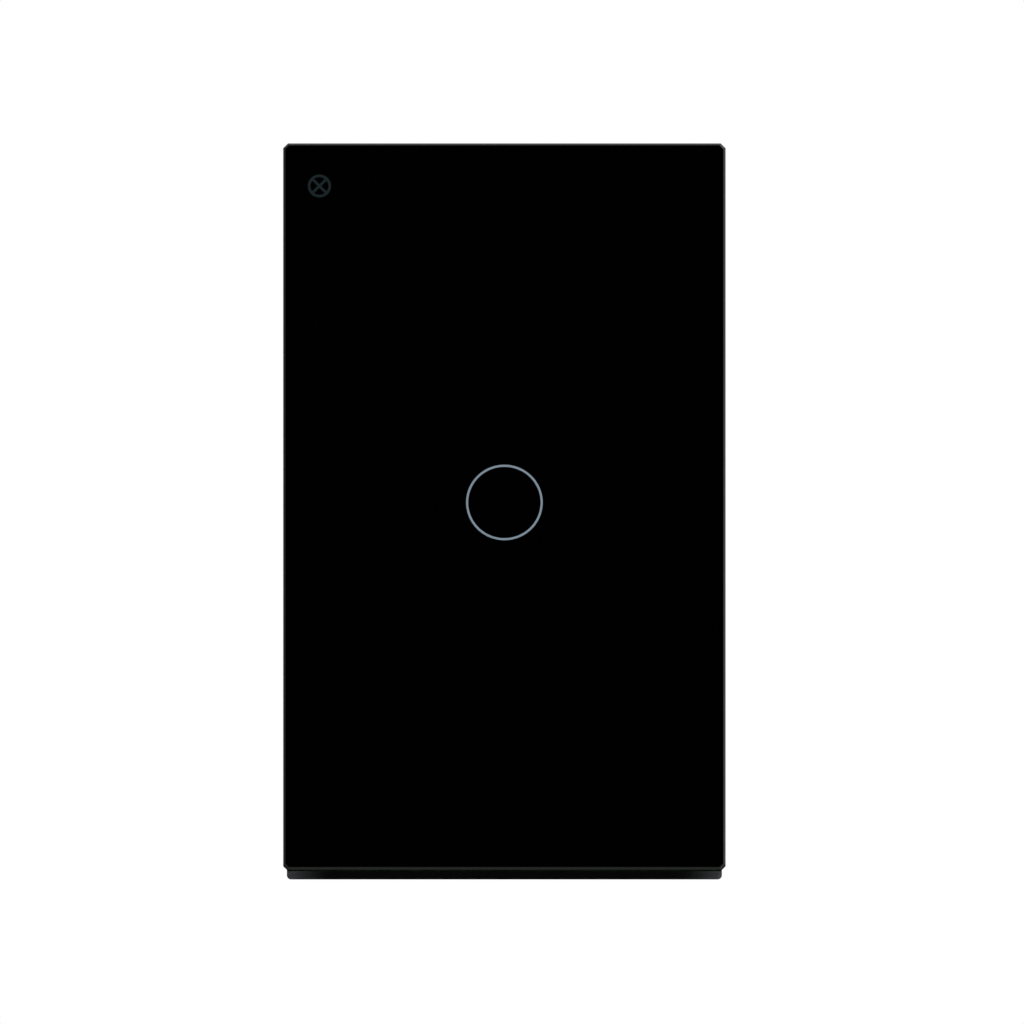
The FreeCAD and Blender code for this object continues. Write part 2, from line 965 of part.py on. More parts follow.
def make_touch_spring():
    # a conical coil, with each end turned square to the board or the glass
    straight = Vector(0, -2 * spring_wire_radius, 0)
    forward = Vector(0, -1, 0)
    bend = Vector(0, -spring_bend, 0)
    first, first_way = spring_point(0), spring_way(0)
    last, last_way = spring_point(spring_turn_count), spring_way(spring_turn_count)
    foot = first - bend - first_way * spring_bend
    head = last + bend + last_way * spring_bend
    foot.y = spring_coil_back() + spring_bend
    head.y = spring_coil_front() - spring_bend
    edges = [Part.LineSegment(foot - straight, foot).toShape()]
    edges += biarc(foot, forward, first, first_way)
    for i in range(4 * spring_turn_count):
        a, b = i / 4, (i + 1) / 4
        edges += biarc(spring_point(a), spring_way(a), spring_point(b), spring_way(b))
    edges += biarc(last, last_way, head, forward)
    edges.append(Part.LineSegment(head, head + straight).toShape())
    path = Part.Wire(edges)
    section = Part.Wire(Part.Circle(foot - straight, forward, spring_wire_radius).toShape())
    gap = least_gap(path, spring_wire_radius, math.pi * spring_foot_radius)
    print(f"touch spring: least gap to itself {gap:.2f} mm")
    return path.makePipeShell([section], True, False)


def radio_centre():
    x = radio_side_margin + radio_width / 2 - touch_board_width / 2
    z = ring_rise - guide_outer_radius - radio_guide_gap - radio_height / 2
    return x, z


def make_radio_board():
    x, z = radio_centre()
    front = touch_front - radio_thickness
    return centred(radio_width, radio_height, front, touch_front, x, z)


def make_radio_shield():
    x, z = radio_centre()
    z += radio_height / 2 - shield_margin - shield_height / 2
    back = touch_front - radio_thickness
    front = back - shield_depth
    outer = rounded(shield_width, shield_height, shield_corner, front, back, x, z)
    outer = outer.makeFillet(shield_wall, edges_at_depth(outer, front))
    inside = rounded(
        shield_width - 2 * shield_wall,
        shield_height - 2 * shield_wall,
        shield_corner - shield_wall,
        front + shield_wall,
        back + BEYOND,
        x,
        z,
    )
    return outer.cut(inside)


def gull_chip(x, z, width, length, depth, leg_count, base, facing):
    """A small chip with legs on its two sides across X. facing is the way it stands off its board."""
    body_base = base + facing * chip_standoff
    depths = sorted((body_base, body_base + facing * depth))
    body = centred(width, length, *depths, x, z)
    legs = []
    middle = body_base + facing * depth / 2
    for leg_z in row(leg_count, chip_leg_pitch):
        for side in (-1, 1):
            shoulder = sorted((middle, middle + facing * chip_leg_thickness))
            foot = sorted((base, base + facing * chip_leg_thickness))
            shin = sorted((base, shoulder[1] if facing > 0 else shoulder[0]))
            edge = x + side * width / 2
            reach = side * chip_leg_reach
            bend = side * chip_leg_thickness
            legs.append(leg_box(edge - bend, edge + reach / 2, *shoulder, z + leg_z))
            legs.append(leg_box(edge + reach / 2 - bend, edge + reach / 2, *shin, z + leg_z))
            legs.append(leg_box(edge + reach / 2 - bend, edge + reach, *foot, z + leg_z))
    return join([body] + legs)


def leg_box(xa, xb, y0, y1, z):
    return box(min(xa, xb), max(xa, xb), y0, y1, z - chip_leg_width / 2, z + chip_leg_width / 2)


def make_touch_chip():
    return gull_chip(
        touch_chip_x,
        touch_chip_rise,
        touch_chip_width,
        touch_chip_length,
        touch_chip_height,
        touch_chip_leg_count,
        touch_front,
        -1,
    )


def small_parts(x, z, grid, base, facing):
    depths = sorted((base, base + facing * part_height))
    return [
        centred(part_width, part_length, *depths, x + i * part_pitch, z + j * part_row_pitch)
        for i in range(grid[0])
        for j in range(grid[1])
    ]


def make_touch_board_parts():
    chip_left = touch_chip_x - touch_chip_width / 2 - chip_leg_reach
    beside = chip_left - component_gap - chip_part_grid[0] * part_pitch
    lower = small_parts(beside, touch_chip_rise - part_pitch, chip_part_grid, touch_front, -1)
    upper_z = ring_rise + guide_outer_radius + component_gap + part_length / 2
    left = small_parts(-board_screw_x + part_pitch, upper_z, left_part_grid, touch_front, -1)
    right = small_parts(part_pitch, upper_z, right_part_grid, touch_front, -1)
    return lower + left + right


# Connector between the boards

def make_pin_header():
    back = touch_back + header_height
    body = centred(header_length, header_width, touch_back, back, 0, header_z)
    return body.cut(header_holes(touch_back - BEYOND, back + BEYOND))


def make_header_pins():
    front = touch_front - pin_front_tail
    back = touch_back + header_height + socket_header_gap + pin_engagement
    return [
        centred(2 * pin_half, 2 * pin_half, front, back, x, header_z)
        for x in row(header_pin_count, header_pitch)
    ]


def make_header_socket():
    front = touch_back + header_height + socket_header_gap
    body = centred(header_length, header_width, front, power_front, 0, header_z)
    return body.cut(header_holes(front - BEYOND, power_front + BEYOND))


def make_socket_contacts():
    front = touch_back + header_height + socket_header_gap + pin_engagement + pin_clearance
    return [
        centred(2 * pin_half, 2 * pin_half, front, power_back + contact_tail, x, header_z)
        for x in row(header_pin_count, header_pitch)
    ]


def make_insulating_sheet():
    width = 2 * (screw_x - housing_boss_radius - sheet_gap)
    height = 2 * (screw_z - housing_boss_radius - sheet_gap)
    sheet = rounded(width, height, sheet_corner, 0, sheet_thickness)
    return sheet.cut(header_window())


# Power board

def filter_cap_rows():
    return [filter_cap_z + i * filter_cap_pitch for i in range(filter_cap_count)]


def lead_points():
    points = []
    for sign in (-1, 1):
        for z in filter_cap_rows():
            points.append((filter_cap_x + sign * cap_lead_pitch / 2, z))
        points.append((output_cap_x + sign * output_cap_lead_pitch / 2, output_cap_z))
        points.append((safety_cap_x + sign * safety_cap_lead_pitch / 2, safety_cap_z))
        points.append((varistor_x + sign * varistor_lead_pitch / 2, varistor_z))
        points.append((fuse_x + sign * fuse_lead_pitch / 2, fuse_z))
        points.append((right_chips_x + sign * choke_lead_pitch / 2, choke_z))
        for x in row(transformer_pin_count, transformer_pin_pitch):
            z = transformer_z + sign * transformer_pin_row()
            points.append((transformer_x + x, z))
    return points


def transformer_pin_row():
    return bobbin_rail_length / 2 - 2 * lead_radius - lead_clearance


def relay_pin_points():
    coil = [(relay_x + side * coil_pin_spread, coil_z) for side in (-1, 1)]
    return coil + [(relay_x, hinge_z), (relay_x, strip_z)]


def bar_leg_z():
    return chamber_top_z + bar_thickness / 2


def make_power_board():
    width = inner_width - 2 * power_board_clearance
    height = inner_height - 2 * power_board_clearance
    board = centred(width, height, power_front, power_back)
    holes = header_holes(power_front - BEYOND, power_back + BEYOND)
    notch = housing_boss_radius + power_corner_clearance
    reach = 2 * (screw_inset + notch)
    for side, end in corners():
        holes.append(
            centred(
                reach,
                reach,
                power_front - BEYOND,
                power_back + BEYOND,
                side * housing_width / 2,
                end * housing_height / 2,
            )
        )
    rounds = [(x, z, lead_radius + lead_clearance) for x, z in lead_points()]
    relay_hole = math.hypot(relay_pin_half, relay_pin_half) + lead_clearance
    rounds += [(x, z, relay_hole) for x, z in relay_pin_points()]
    bar_hole = math.hypot(bar_pin_half, bar_thickness / 2) + bar_hole_clearance
    rounds += [(x, bar_leg_z(), bar_hole) for x in row(pole_count, pole_pitch)]
    holes += [rod(x, z, r, power_front - BEYOND, power_back + BEYOND) for x, z, r in rounds]
    return board.cut(holes)


def lead_pair(x, z, pitch, top):
    bottom = power_front - lead_tail
    return [rod(x + sign * pitch / 2, z, lead_radius, bottom, top) for sign in (-1, 1)]


def can_capacitor(x, z, radius, height, pitch):
    top = power_back + height
    can = rod(x, z, radius, power_back, top)
    can = can.makeFillet(cap_groove, edges_at_depth(can, top))
    waist = power_back + cap_waist_rise
    groove = Part.makeTorus(radius, cap_groove, Vector(x, waist, z), Vector(0, 1, 0))
    return join([can.cut(groove)] + lead_pair(x, z, pitch, power_back + cap_groove))


def make_filter_capacitors():
    return [
        can_capacitor(filter_cap_x, z, filter_cap_radius, filter_cap_height, cap_lead_pitch)
        for z in filter_cap_rows()
    ]


def make_output_capacitor():
    return can_capacitor(
        output_cap_x, output_cap_z, output_cap_radius, output_cap_height, output_cap_lead_pitch
    )


def make_safety_capacitor():
    top = power_back + safety_cap_height
    body = centred(
        safety_cap_width, safety_cap_depth, power_back, top, safety_cap_x, safety_cap_z
    )
    body = body.makeFillet(safety_cap_corner, edges_along_depth(body))
    leads = lead_pair(safety_cap_x, safety_cap_z, safety_cap_lead_pitch, power_back + cap_groove)
    return join([body] + leads)


def make_varistor():
    centre_y = power_back + varistor_standoff + varistor_radius
    start = Vector(varistor_x, centre_y, varistor_z - varistor_thickness / 2)
    disc = Part.makeCylinder(varistor_radius, varistor_thickness, start, Vector(0, 0, 1))
    disc = disc.makeFillet(varistor_round, disc.Edges)
    lead_end = power_back + varistor_standoff + varistor_radius - varistor_lead_reach
    leads = lead_pair(varistor_x, varistor_z, varistor_lead_pitch, lead_end)
    return join([disc] + leads)


def make_fuse_resistor():
    y = power_back + fuse_radius
    start = Vector(fuse_x - fuse_length / 2, y, fuse_z)
    body = Part.makeCylinder(fuse_radius, fuse_length, start, Vector(1, 0, 0))
    body = body.makeFillet(fuse_end_round, body.Edges)
    wire_start = Vector(fuse_x - fuse_lead_pitch / 2 - lead_radius, y, fuse_z)
    wire = Part.makeCylinder(
        lead_radius, fuse_lead_pitch + 2 * lead_radius, wire_start, Vector(1, 0, 0)
    )
    leads = lead_pair(fuse_x, fuse_z, fuse_lead_pitch, y + lead_radius)
    return join([body, wire] + leads)


def make_filter_choke():
    top = power_back + choke_height
    drum = [
        rod(right_chips_x, choke_z, choke_radius, power_back, power_back + choke_flange),
        rod(right_chips_x, choke_z, choke_waist_radius, power_back, top),
        rod(right_chips_x, choke_z, choke_radius, top - choke_flange, top),
    ]
    return join(drum + lead_pair(right_chips_x, choke_z, choke_lead_pitch, power_back + choke_flange))


def make_choke_winding():
    low = power_back + choke_flange
    high = power_back + choke_height - choke_flange
    inner = choke_waist_radius + relay_fit
    return tube(right_chips_x, choke_z, choke_radius - relay_fit, inner, low, high)


def make_power_chip():
    return gull_chip(
        left_chips_x,
        power_chip_z,
        power_chip_width,
        power_chip_length,
        power_chip_height,
        power_chip_leg_count,
        power_back,
        1,
    )


def make_rectifier():
    return gull_chip(
        left_chips_x,
        rectifier_z,
        rectifier_width,
        rectifier_length,
        rectifier_height,
        rectifier_leg_count,
        power_back,
        1,
    )


def make_optocoupler():
    return gull_chip(
        right_chips_x,
        opto_z,
        opto_width,
        opto_length,
        opto_height,
        opto_leg_count,
        power_back,
        1,
    )


def make_regulator():
    return gull_chip(
        -regulator_offset,
        regulator_z,
        regulator_width,
        regulator_length,
        regulator_height,
        regulator_leg_count,
        power_back,
        1,
    )


def make_power_board_parts():
    right_column = right_chips_x - part_pitch
    lower_z = opto_z + opto_length / 2 + component_gap + part_length / 2
    lower = small_parts(right_column, lower_z, opto_part_grid, power_back, 1)
    upper_x = regulator_offset - part_pitch
    upper = small_parts(upper_x, regulator_z, regulator_part_grid, power_back, 1)
    return lower + upper


# Transformer

def transformer_base():
    return power_back + bobbin_rail_height


def make_transformer_core():
    base = transformer_base()
    top = base + transformer_height
    window = (transformer_width - 2 * core_leg - core_centre_leg) / 2
    halves = []
    middle = (base + top) / 2
    for y0, y1 in ((base, middle), (middle, top)):
        half = centred(transformer_width, core_stack, y0, y1, transformer_x, transformer_z)
        openings = []
        for side in (-1, 1):
            x = transformer_x + side * (core_centre_leg + window) / 2
            openings.append(
                centred(window, core_stack + 2 * BEYOND, base + core_leg, top - core_leg, x, transformer_z)
            )
        halves.append(half.cut(openings))
    return halves


def winding_block(margin, y0, y1):
    window = (transformer_width - 2 * core_leg - core_centre_leg) / 2
    width = core_centre_leg + 2 * (window - margin)
    height = core_stack + 2 * (winding_swell - margin)
    return rounded(width, height, bobbin_wall, y0, y1, transformer_x, transformer_z)


def centre_hole(extra, y0, y1):
    width = core_centre_leg + 2 * extra
    height = core_stack + 2 * extra
    return centred(width, height, y0 - BEYOND, y1 + BEYOND, transformer_x, transformer_z)


def make_transformer_bobbin():
    low = transformer_base() + core_leg
    high = transformer_base() + transformer_height - core_leg
    tube_wall = winding_block(0, low + relay_fit, high - relay_fit)
    wound = winding_block(
        -BEYOND, low + relay_fit + bobbin_wall, high - relay_fit - bobbin_wall
    ).cut(centre_hole(relay_fit + bobbin_wall, low, high))
    spool = tube_wall.cut([wound, centre_hole(relay_fit, low, high)])
    rails = []
    for end in (-1, 1):
        inner = core_stack / 2 + relay_fit
        outer = bobbin_rail_length / 2
        z0, z1 = sorted((transformer_z + end * inner, transformer_z + end * outer))
        flange_outer = core_stack / 2 + winding_swell
        f0, f1 = sorted((transformer_z + end * inner, transformer_z + end * flange_outer))
        half = transformer_width / 2
        rails.append(
            box(transformer_x - half, transformer_x + half, power_back, transformer_base(), z0, z1)
        )
        neck = core_centre_leg
        rails.append(
            box(
                transformer_x - neck / 2,
                transformer_x + neck / 2,
                power_back + bobbin_rail_height / 2,
                low + relay_fit + bobbin_wall,
                f0,
                f1,
            )
        )
    pins = []
    for end in (-1, 1):
        for x in row(transformer_pin_count, transformer_pin_pitch):
            z = transformer_z + end * transformer_pin_row()
            bottom = power_front - lead_tail
            pins.append(rod(transformer_x + x, z, lead_radius, bottom, power_back + lead_radius))
    return join([spool] + rails + pins)


def make_transformer_winding():
    low = transformer_base() + core_leg + relay_fit + bobbin_wall
    high = transformer_base() + transformer_height - core_leg - relay_fit - bobbin_wall
    return winding_block(relay_fit, low, high).cut(
        centre_hole(relay_fit + bobbin_wall, low, high)
    )


# Relay

def make_relay_cover():
    top = relay_back
    outer = rounded(relay_width, relay_length, relay_wall / 2, power_back, top, relay_x, relay_z)
    outer = outer.makeFillet(relay_wall / 2, edges_at_depth(outer, top))
    inside = centred(
        relay_width - 2 * relay_wall,
        relay_length - 2 * relay_wall,
        power_back - BEYOND,
        top - relay_wall,
        relay_x,
        relay_z,
    )
    return outer.cut(inside)


def make_relay_base():
    margin = relay_wall + relay_fit
    plate = centred(
        relay_width - 2 * margin,
        relay_length - 2 * margin,
        power_back,
        relay_base_top,
        relay_x,
        relay_z,
    )
    hole = relay_pin_half + relay_fit
    holes = [
        centred(2 * hole, 2 * hole, power_back - BEYOND, relay_base_top + BEYOND, x, z)
        for x, z in relay_pin_points()
    ]
    return plate.cut(holes)


def relay_pin(x, z, top):
    return centred(2 * relay_pin_half, 2 * relay_pin_half, power_front - lead_tail, top, x, z)


def make_relay_coil_pins():
    return [relay_pin(relay_x + side * coil_pin_spread, coil_z, spool_bottom) for side in (-1, 1)]


def make_relay_yoke():
    foot_end = coil_z - core_radius - yoke_side_thickness
    half = yoke_width / 2
    foot = box(relay_x - half, relay_x + half, relay_base_top, spool_bottom, foot_end, yoke_back_z)
    wall = box(
        relay_x - half,
        relay_x + half,
        relay_base_top,
        pole_face - yoke_top_gap,
        yoke_back_z - yoke_side_thickness,
        yoke_back_z,
    )
    hole = rod(
        relay_x, coil_z, core_radius + relay_fit, relay_base_top - BEYOND, spool_bottom + BEYOND
    )
    return join([foot, wall, relay_pin(relay_x, hinge_z, spool_bottom)]).cut(hole)


def make_relay_core():
    shaft = rod(relay_x, coil_z, core_radius, relay_base_top, pole_face)
    head = rod(relay_x, coil_z, core_head_radius, spool_top, pole_face)
    return join([shaft, head])


def make_relay_bobbin():
    flanges = [
        centred(coil_spool_width, coil_spool_length, y, y + coil_flange, relay_x, coil_z)
        for y in (spool_bottom, spool_top - coil_flange)
    ]
    post = rod(relay_x, coil_z, coil_tube_radius, spool_bottom, spool_top)
    hole = rod(
        relay_x, coil_z, core_radius + relay_fit, spool_bottom - BEYOND, spool_top + BEYOND
    )
    return join(flanges + [post]).cut(hole)


def make_relay_winding():
    return tube(
        relay_x,
        coil_z,
        coil_winding_radius,
        coil_tube_radius + relay_fit,
        spool_bottom + coil_flange,
        spool_top - coil_flange,
    )


def opened(shape):
    """Turns a piece modelled with the relay pulled in to where it stands with the coil off."""
    turned = shape.copy()
    turned.rotate(Vector(relay_x, pole_face, hinge_z), Vector(1, 0, 0), armature_open_angle)
    return turned


def make_relay_armature():
    front = coil_z - core_head_radius - armature_overhang / 2
    half = armature_width / 2
    return opened(
        box(relay_x - half, relay_x + half, armature_front, blade_front, front, yoke_back_z)
    )


def make_relay_blade():
    back = blade_front + blade_thickness
    half = blade_width / 2
    return opened(
        box(relay_x - half, relay_x + half, blade_front, back, blade_tip_z, coil_z + blade_root)
    )


def make_relay_moving_contact():
    return opened(
        rod(relay_x, contact_z, contact_radius, blade_front - contact_height, blade_front)
    )


def make_relay_fixed_contact():
    button_base = fixed_contact_top - fixed_contact_height
    strip_base = button_base - fixed_strip_thickness
    half = fixed_strip_width / 2
    outer = strip_z - fixed_strip_thickness / 2
    inner = contact_z + contact_radius
    button = rod(relay_x, contact_z, contact_radius, button_base, fixed_contact_top)
    arm = box(relay_x - half, relay_x + half, strip_base, button_base, outer, inner)
    leg = box(
        relay_x - half,
        relay_x + half,
        relay_base_top,
        button_base,
        outer,
        outer + fixed_strip_thickness,
    )
    return join([button, arm, leg, relay_pin(relay_x, strip_z, relay_base_top + relay_pin_half)])


# Terminal block

def make_terminal_body():
    body = box(
        -terminal_half_width,
        terminal_half_width,
        power_back,
        terminal_top,
        terminal_bottom_z,
        terminal_top_z,
    )
    holes = []
    chamber_half = cage_width / 2 + chamber_clearance
    leg_half = bar_width / 2 + bar_clearance
    well = terminal_screw_head_radius + terminal_well_clearance
    for x in row(pole_count, pole_pitch):
        holes.append(
            box(
                x - chamber_half,
                x + chamber_half,
                power_back - BEYOND,
                chamber_top,
                chamber_bottom_z,
                chamber_top_z,
            )
        )
        holes.append(rod(x, terminal_screw_z, well, chamber_top - BEYOND, terminal_top + BEYOND))
        holes.append(wire_hole(x))
        holes.append(
            box(
                x - leg_half,
                x + leg_half,
                power_back - BEYOND,
                bar_top + bar_clearance,
                chamber_top_z - BEYOND,
                chamber_top_z + bar_thickness,
            )
        )
    return body.cut(holes)


def make_terminal_bars():
    bars = []
    front = chamber_bottom_z + chamber_end_gap
    back = chamber_top_z + bar_thickness
    half = bar_width / 2
    for x in row(pole_count, pole_pitch):
        arm = box(x - half, x + half, bar_bottom, bar_top, front, back)
        leg = box(x - half, x + half, power_back, bar_top, chamber_top_z, back)
        pin = box(
            x - bar_pin_half, x + bar_pin_half, power_front - lead_tail, bar_top, chamber_top_z, back
        )
        bars.append(join([arm, leg, pin]))
    return bars


def make_terminal_cage(x):
    half_length = cage_length / 2
    outer = box(
        x - cage_width / 2,
        x + cage_width / 2,
        cage_bottom,
        cage_top,
        terminal_screw_z - half_length,
        terminal_screw_z + half_length,
    )
    inner_half = cage_width / 2 - cage_wall
    window = box(
        x - inner_half,
        x + inner_half,
        window_bottom,
        cage_ceiling,
        terminal_screw_z - half_length - BEYOND,
        terminal_screw_z + half_length + BEYOND,
    )
    thread = rod(
        x,
        terminal_screw_z,
        terminal_screw_radius + thread_clearance,
        cage_ceiling - BEYOND,
        cage_top + BEYOND,
    )
    return outer.cut([window, thread])


def make_terminal_screw(x):
    length = chamber_top - bar_top - thread_clearance
    return pan_screw(
        x,
        terminal_screw_z,
        chamber_top,
        1,
        terminal_screw_radius,
        length,
        terminal_screw_head_radius,
        terminal_screw_head_height,
        terminal_screw_recess,
    )


os.makedirs("parts", exist_ok=True)
save("glass_panel", make_glass_panel())
save("ink_layer", make_ink_layer())
save("touch_ring", make_touch_ring())
save("lamp_symbol", make_lamp_symbol())
save("panel_tape", make_panel_tape())
save("panel_frame", make_panel_frame())
save("mounting_plate", make_mounting_plate())
save("rear_housing", make_rear_housing())
save("housing_screws", make_housing_screws())
save("insulating_sheet", make_insulating_sheet())
save("touch_board", make_touch_board())
save("touch_board_screws", make_board_screws())
save("light_guide", make_light_guide())
save("indicator_leds", make_indicator_leds())
save("touch_spring", make_touch_spring())
save("radio_board", make_radio_board())
save("radio_shield", make_radio_shield())
save("touch_chip", make_touch_chip())
save("touch_board_parts", make_touch_board_parts())
save("pin_header", make_pin_header())
save("header_pins", make_header_pins())
save("header_socket", make_header_socket())
save("socket_contacts", make_socket_contacts())
save("power_board", make_power_board())
save("filter_capacitors", make_filter_capacitors())
save("output_capacitor", make_output_capacitor())
save("safety_capacitor", make_safety_capacitor())
save("varistor", make_varistor())
save("fuse_resistor", make_fuse_resistor())
save("power_chip", make_power_chip())
save("rectifier", make_rectifier())
save("optocoupler", make_optocoupler())
save("regulator", make_regulator())
save("filter_choke", make_filter_choke())
save("choke_winding", make_choke_winding())
save("power_board_parts", make_power_board_parts())
save("transformer_core", make_transformer_core())
save("transformer_bobbin", make_transformer_bobbin())
save("transformer_winding", make_transformer_winding())
save("relay_cover", make_relay_cover())
save("relay_base", make_relay_base())
save("relay_yoke", make_relay_yoke())
save("relay_core", make_relay_core())
save("relay_bobbin", make_relay_bobbin())
save("relay_winding", make_relay_winding())
save("relay_coil_pins", make_relay_coil_pins())
save("relay_fixed_contact", make_relay_fixed_contact())
save("relay_armature", make_relay_armature())
save("relay_contact_blade", make_relay_blade())
save("relay_moving_contact", make_relay_moving_contact())
save("terminal_body", make_terminal_body())
save("terminal_bars", make_terminal_bars())
for number, x in enumerate(row(pole_count, pole_pitch), start=1):
    save(f"terminal_cage_{number}", make_terminal_cage(x))
    save(f"terminal_screw_{number}", make_terminal_screw(x))
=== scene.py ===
import math

import bmesh
import bpy
from mathutils import Matrix, Vector


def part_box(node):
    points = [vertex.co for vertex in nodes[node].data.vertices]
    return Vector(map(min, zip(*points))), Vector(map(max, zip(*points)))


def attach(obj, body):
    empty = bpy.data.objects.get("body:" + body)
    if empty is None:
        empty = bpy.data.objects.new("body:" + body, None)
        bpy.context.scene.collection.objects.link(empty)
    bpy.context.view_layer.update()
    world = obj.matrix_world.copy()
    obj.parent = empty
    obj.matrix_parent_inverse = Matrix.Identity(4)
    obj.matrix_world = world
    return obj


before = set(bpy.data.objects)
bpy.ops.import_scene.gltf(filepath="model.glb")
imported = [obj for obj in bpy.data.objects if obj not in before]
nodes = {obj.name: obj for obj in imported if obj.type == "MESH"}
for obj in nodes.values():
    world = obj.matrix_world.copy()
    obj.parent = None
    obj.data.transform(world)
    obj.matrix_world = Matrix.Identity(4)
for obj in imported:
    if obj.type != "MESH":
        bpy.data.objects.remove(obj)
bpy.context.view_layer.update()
MM = 0.001


# Camera. It faces the glass squarely, from a little below. The view is parallel, because the long edges
# in the photograph don't draw together.
rise = math.radians(-10.0)
view_width = 166.64 * MM
view_right = 1.237 * MM
view_up = 1.122 * MM
standoff = 0.4
back = Vector((0.0, -math.cos(rise), math.sin(rise)))
across = Vector((1.0, 0.0, 0.0))
upward = back.cross(across)
camera_data = bpy.data.cameras.new("photo_camera")
camera_data.type = "ORTHO"
camera_data.ortho_scale = view_width
camera_data.clip_start = 0.01
camera_data.clip_end = 10.0
camera = bpy.data.objects.new("photo_camera", camera_data)
bpy.context.collection.objects.link(camera)
camera.location = across * view_right + upward * view_up + back * standoff
camera.rotation_euler = (-back).to_track_quat("-Z", "Y").to_euler()
bpy.context.scene.camera = camera
bpy.context.scene.view_settings.view_transform = "Standard"


# Studio. White walls, brighter overhead and to the right, and two soft boxes. The glass mirrors a black
# card in front of it, and its lower edges one behind the switch. A pale floor fades into the white.
def soft_box(name, place, size, power):
    lamp = bpy.data.lights.new(name, "AREA")
    lamp.shape = "SQUARE"
    lamp.size = size
    lamp.energy = power
    holder = bpy.data.objects.new(name, lamp)
    bpy.context.collection.objects.link(holder)
    holder.location = place
    holder.rotation_euler = (-Vector(place)).to_track_quat("-Z", "Y").to_euler()


def link(tree, source, target):
    tree.links.new(source, target)


def arithmetic(tree, kind, first, second=0.0):
    """A step of arithmetic on numbers or sockets."""
    step = tree.nodes.new("ShaderNodeMath")
    step.operation = kind
    for slot, value in zip(step.inputs, (first, second)):
        if isinstance(value, bpy.types.NodeSocket):
            link(tree, value, slot)
        else:
            slot.default_value = value
    return step.outputs[0]


def between(tree, source, low, high, start, end, kind="LINEAR"):
    """Takes low..high to start..end, and goes no further."""
    ramp = tree.nodes.new("ShaderNodeMapRange")
    ramp.interpolation_type = kind
    for slot, value in zip(ramp.inputs[1:5], (low, high, start, end)):
        slot.default_value = value
    link(tree, source, ramp.inputs[0])
    return ramp.outputs[0]


def axes(tree, places):
    parts = tree.nodes.new("ShaderNodeSeparateXYZ")
    link(tree, places, parts.inputs[0])
    return parts.outputs


def light_the_walls():
    world = bpy.data.worlds.new("studio_walls")
    bpy.context.scene.world = world
    world.use_nodes = True
    tree = world.node_tree
    wall = tree.nodes["Background"]
    way = tree.nodes.new("ShaderNodeTexCoord").outputs["Generated"]
    x, _, z = axes(tree, way)

    def card(facing, start, full):
        """A black card seen along facing: 1 outside it and 0 within, by the cosine of the angle."""
        aim = tree.nodes.new("ShaderNodeVectorMath")
        aim.operation = "DOT_PRODUCT"
        aim.inputs[1].default_value = facing
        link(tree, way, aim.inputs[0])
        return between(tree, aim.outputs["Value"], start, full, 1.0, 0.0, "SMOOTHSTEP")

    sides = between(tree, x, -1.0, 0.9, 0.3, 1.0, "SMOOTHSTEP")
    heights = between(tree, z, -1.0, 1.0, 0.45, 1.2, "SMOOTHSTEP")
    front_card = card((0.0, back.y, -back.z), 0.86, 0.97)
    rear_card = card((0.0, -back.y, back.z), 0.8, 0.95)
    cards = arithmetic(tree, "MULTIPLY", front_card, rear_card)
    glow = arithmetic(tree, "MULTIPLY", arithmetic(tree, "MULTIPLY", sides, heights), cards)
    choice = tree.nodes.new("ShaderNodeMix")
    link(tree, tree.nodes.new("ShaderNodeLightPath").outputs["Is Camera Ray"], choice.inputs["Factor"])
    link(tree, glow, choice.inputs["A"])
    choice.inputs["B"].default_value = 1.0
    link(tree, choice.outputs["Result"], wall.inputs["Strength"])
    wall.inputs["Color"].default_value = (1.0, 1.0, 1.0, 1.0)


light_the_walls()
soft_box("right_soft_box", (0.75, -0.75, 0.85), 0.7, 7.0)
soft_box("rear_soft_box", (-0.5, 1.1, 0.8), 0.8, 6.0)

floor_depth = 0.22
floor_reach = 2.0
floor_form = bmesh.new()
bmesh.ops.create_grid(floor_form, x_segments=1, y_segments=1, size=floor_reach)
bmesh.ops.translate(floor_form, verts=floor_form.verts, vec=(0.0, 0.0, -floor_depth))
floor_mesh = bpy.data.meshes.new("studio_floor")
floor_form.to_mesh(floor_mesh)
floor_form.free()
studio_floor = bpy.data.objects.new("studio_floor", floor_mesh)
bpy.context.collection.objects.link(studio_floor)
floor_paint = bpy.data.materials.new("floor_paint")
floor_paint.use_nodes = True
tree = floor_paint.node_tree
floor_shader = tree.nodes["Principled BSDF"]
floor_shader.inputs["Base Color"].default_value = (0.84, 0.84, 0.84, 1.0)
floor_shader.inputs["Roughness"].default_value = 0.8
reach = tree.nodes.new("ShaderNodeVectorMath")
reach.operation = "LENGTH"
link(tree, tree.nodes.new("ShaderNodeTexCoord").outputs["Object"], reach.inputs[0])
fade = tree.nodes.new("ShaderNodeMixShader")
link(tree, between(tree, reach.outputs["Value"], 0.3, 1.3, 0.0, 1.0, "SMOOTHSTEP"), fade.inputs[0])
link(tree, floor_shader.outputs[0], fade.inputs[1])
link(tree, tree.nodes.new("ShaderNodeBsdfTransparent").outputs[0], fade.inputs[2])
link(tree, fade.outputs[0], tree.nodes["Material Output"].inputs["Surface"])
floor_mesh.materials.append(floor_paint)
studio_floor.visible_glossy = False


# Glass front. One sheet of soda glass, 2 mm thick, cut, ground along its edges and polished. It looks
# black through and through because its back is inked, and its ground edges are a greenish grey.
def new_finish(name):
    """A material, its tree, its shader, and the socket that gives places on the piece."""
    finish = bpy.data.materials.new(name)
    finish.use_nodes = True
    tree = finish.node_tree
    places = tree.nodes.new("ShaderNodeTexCoord").outputs["Object"]
    return finish, tree, tree.nodes["Principled BSDF"], places


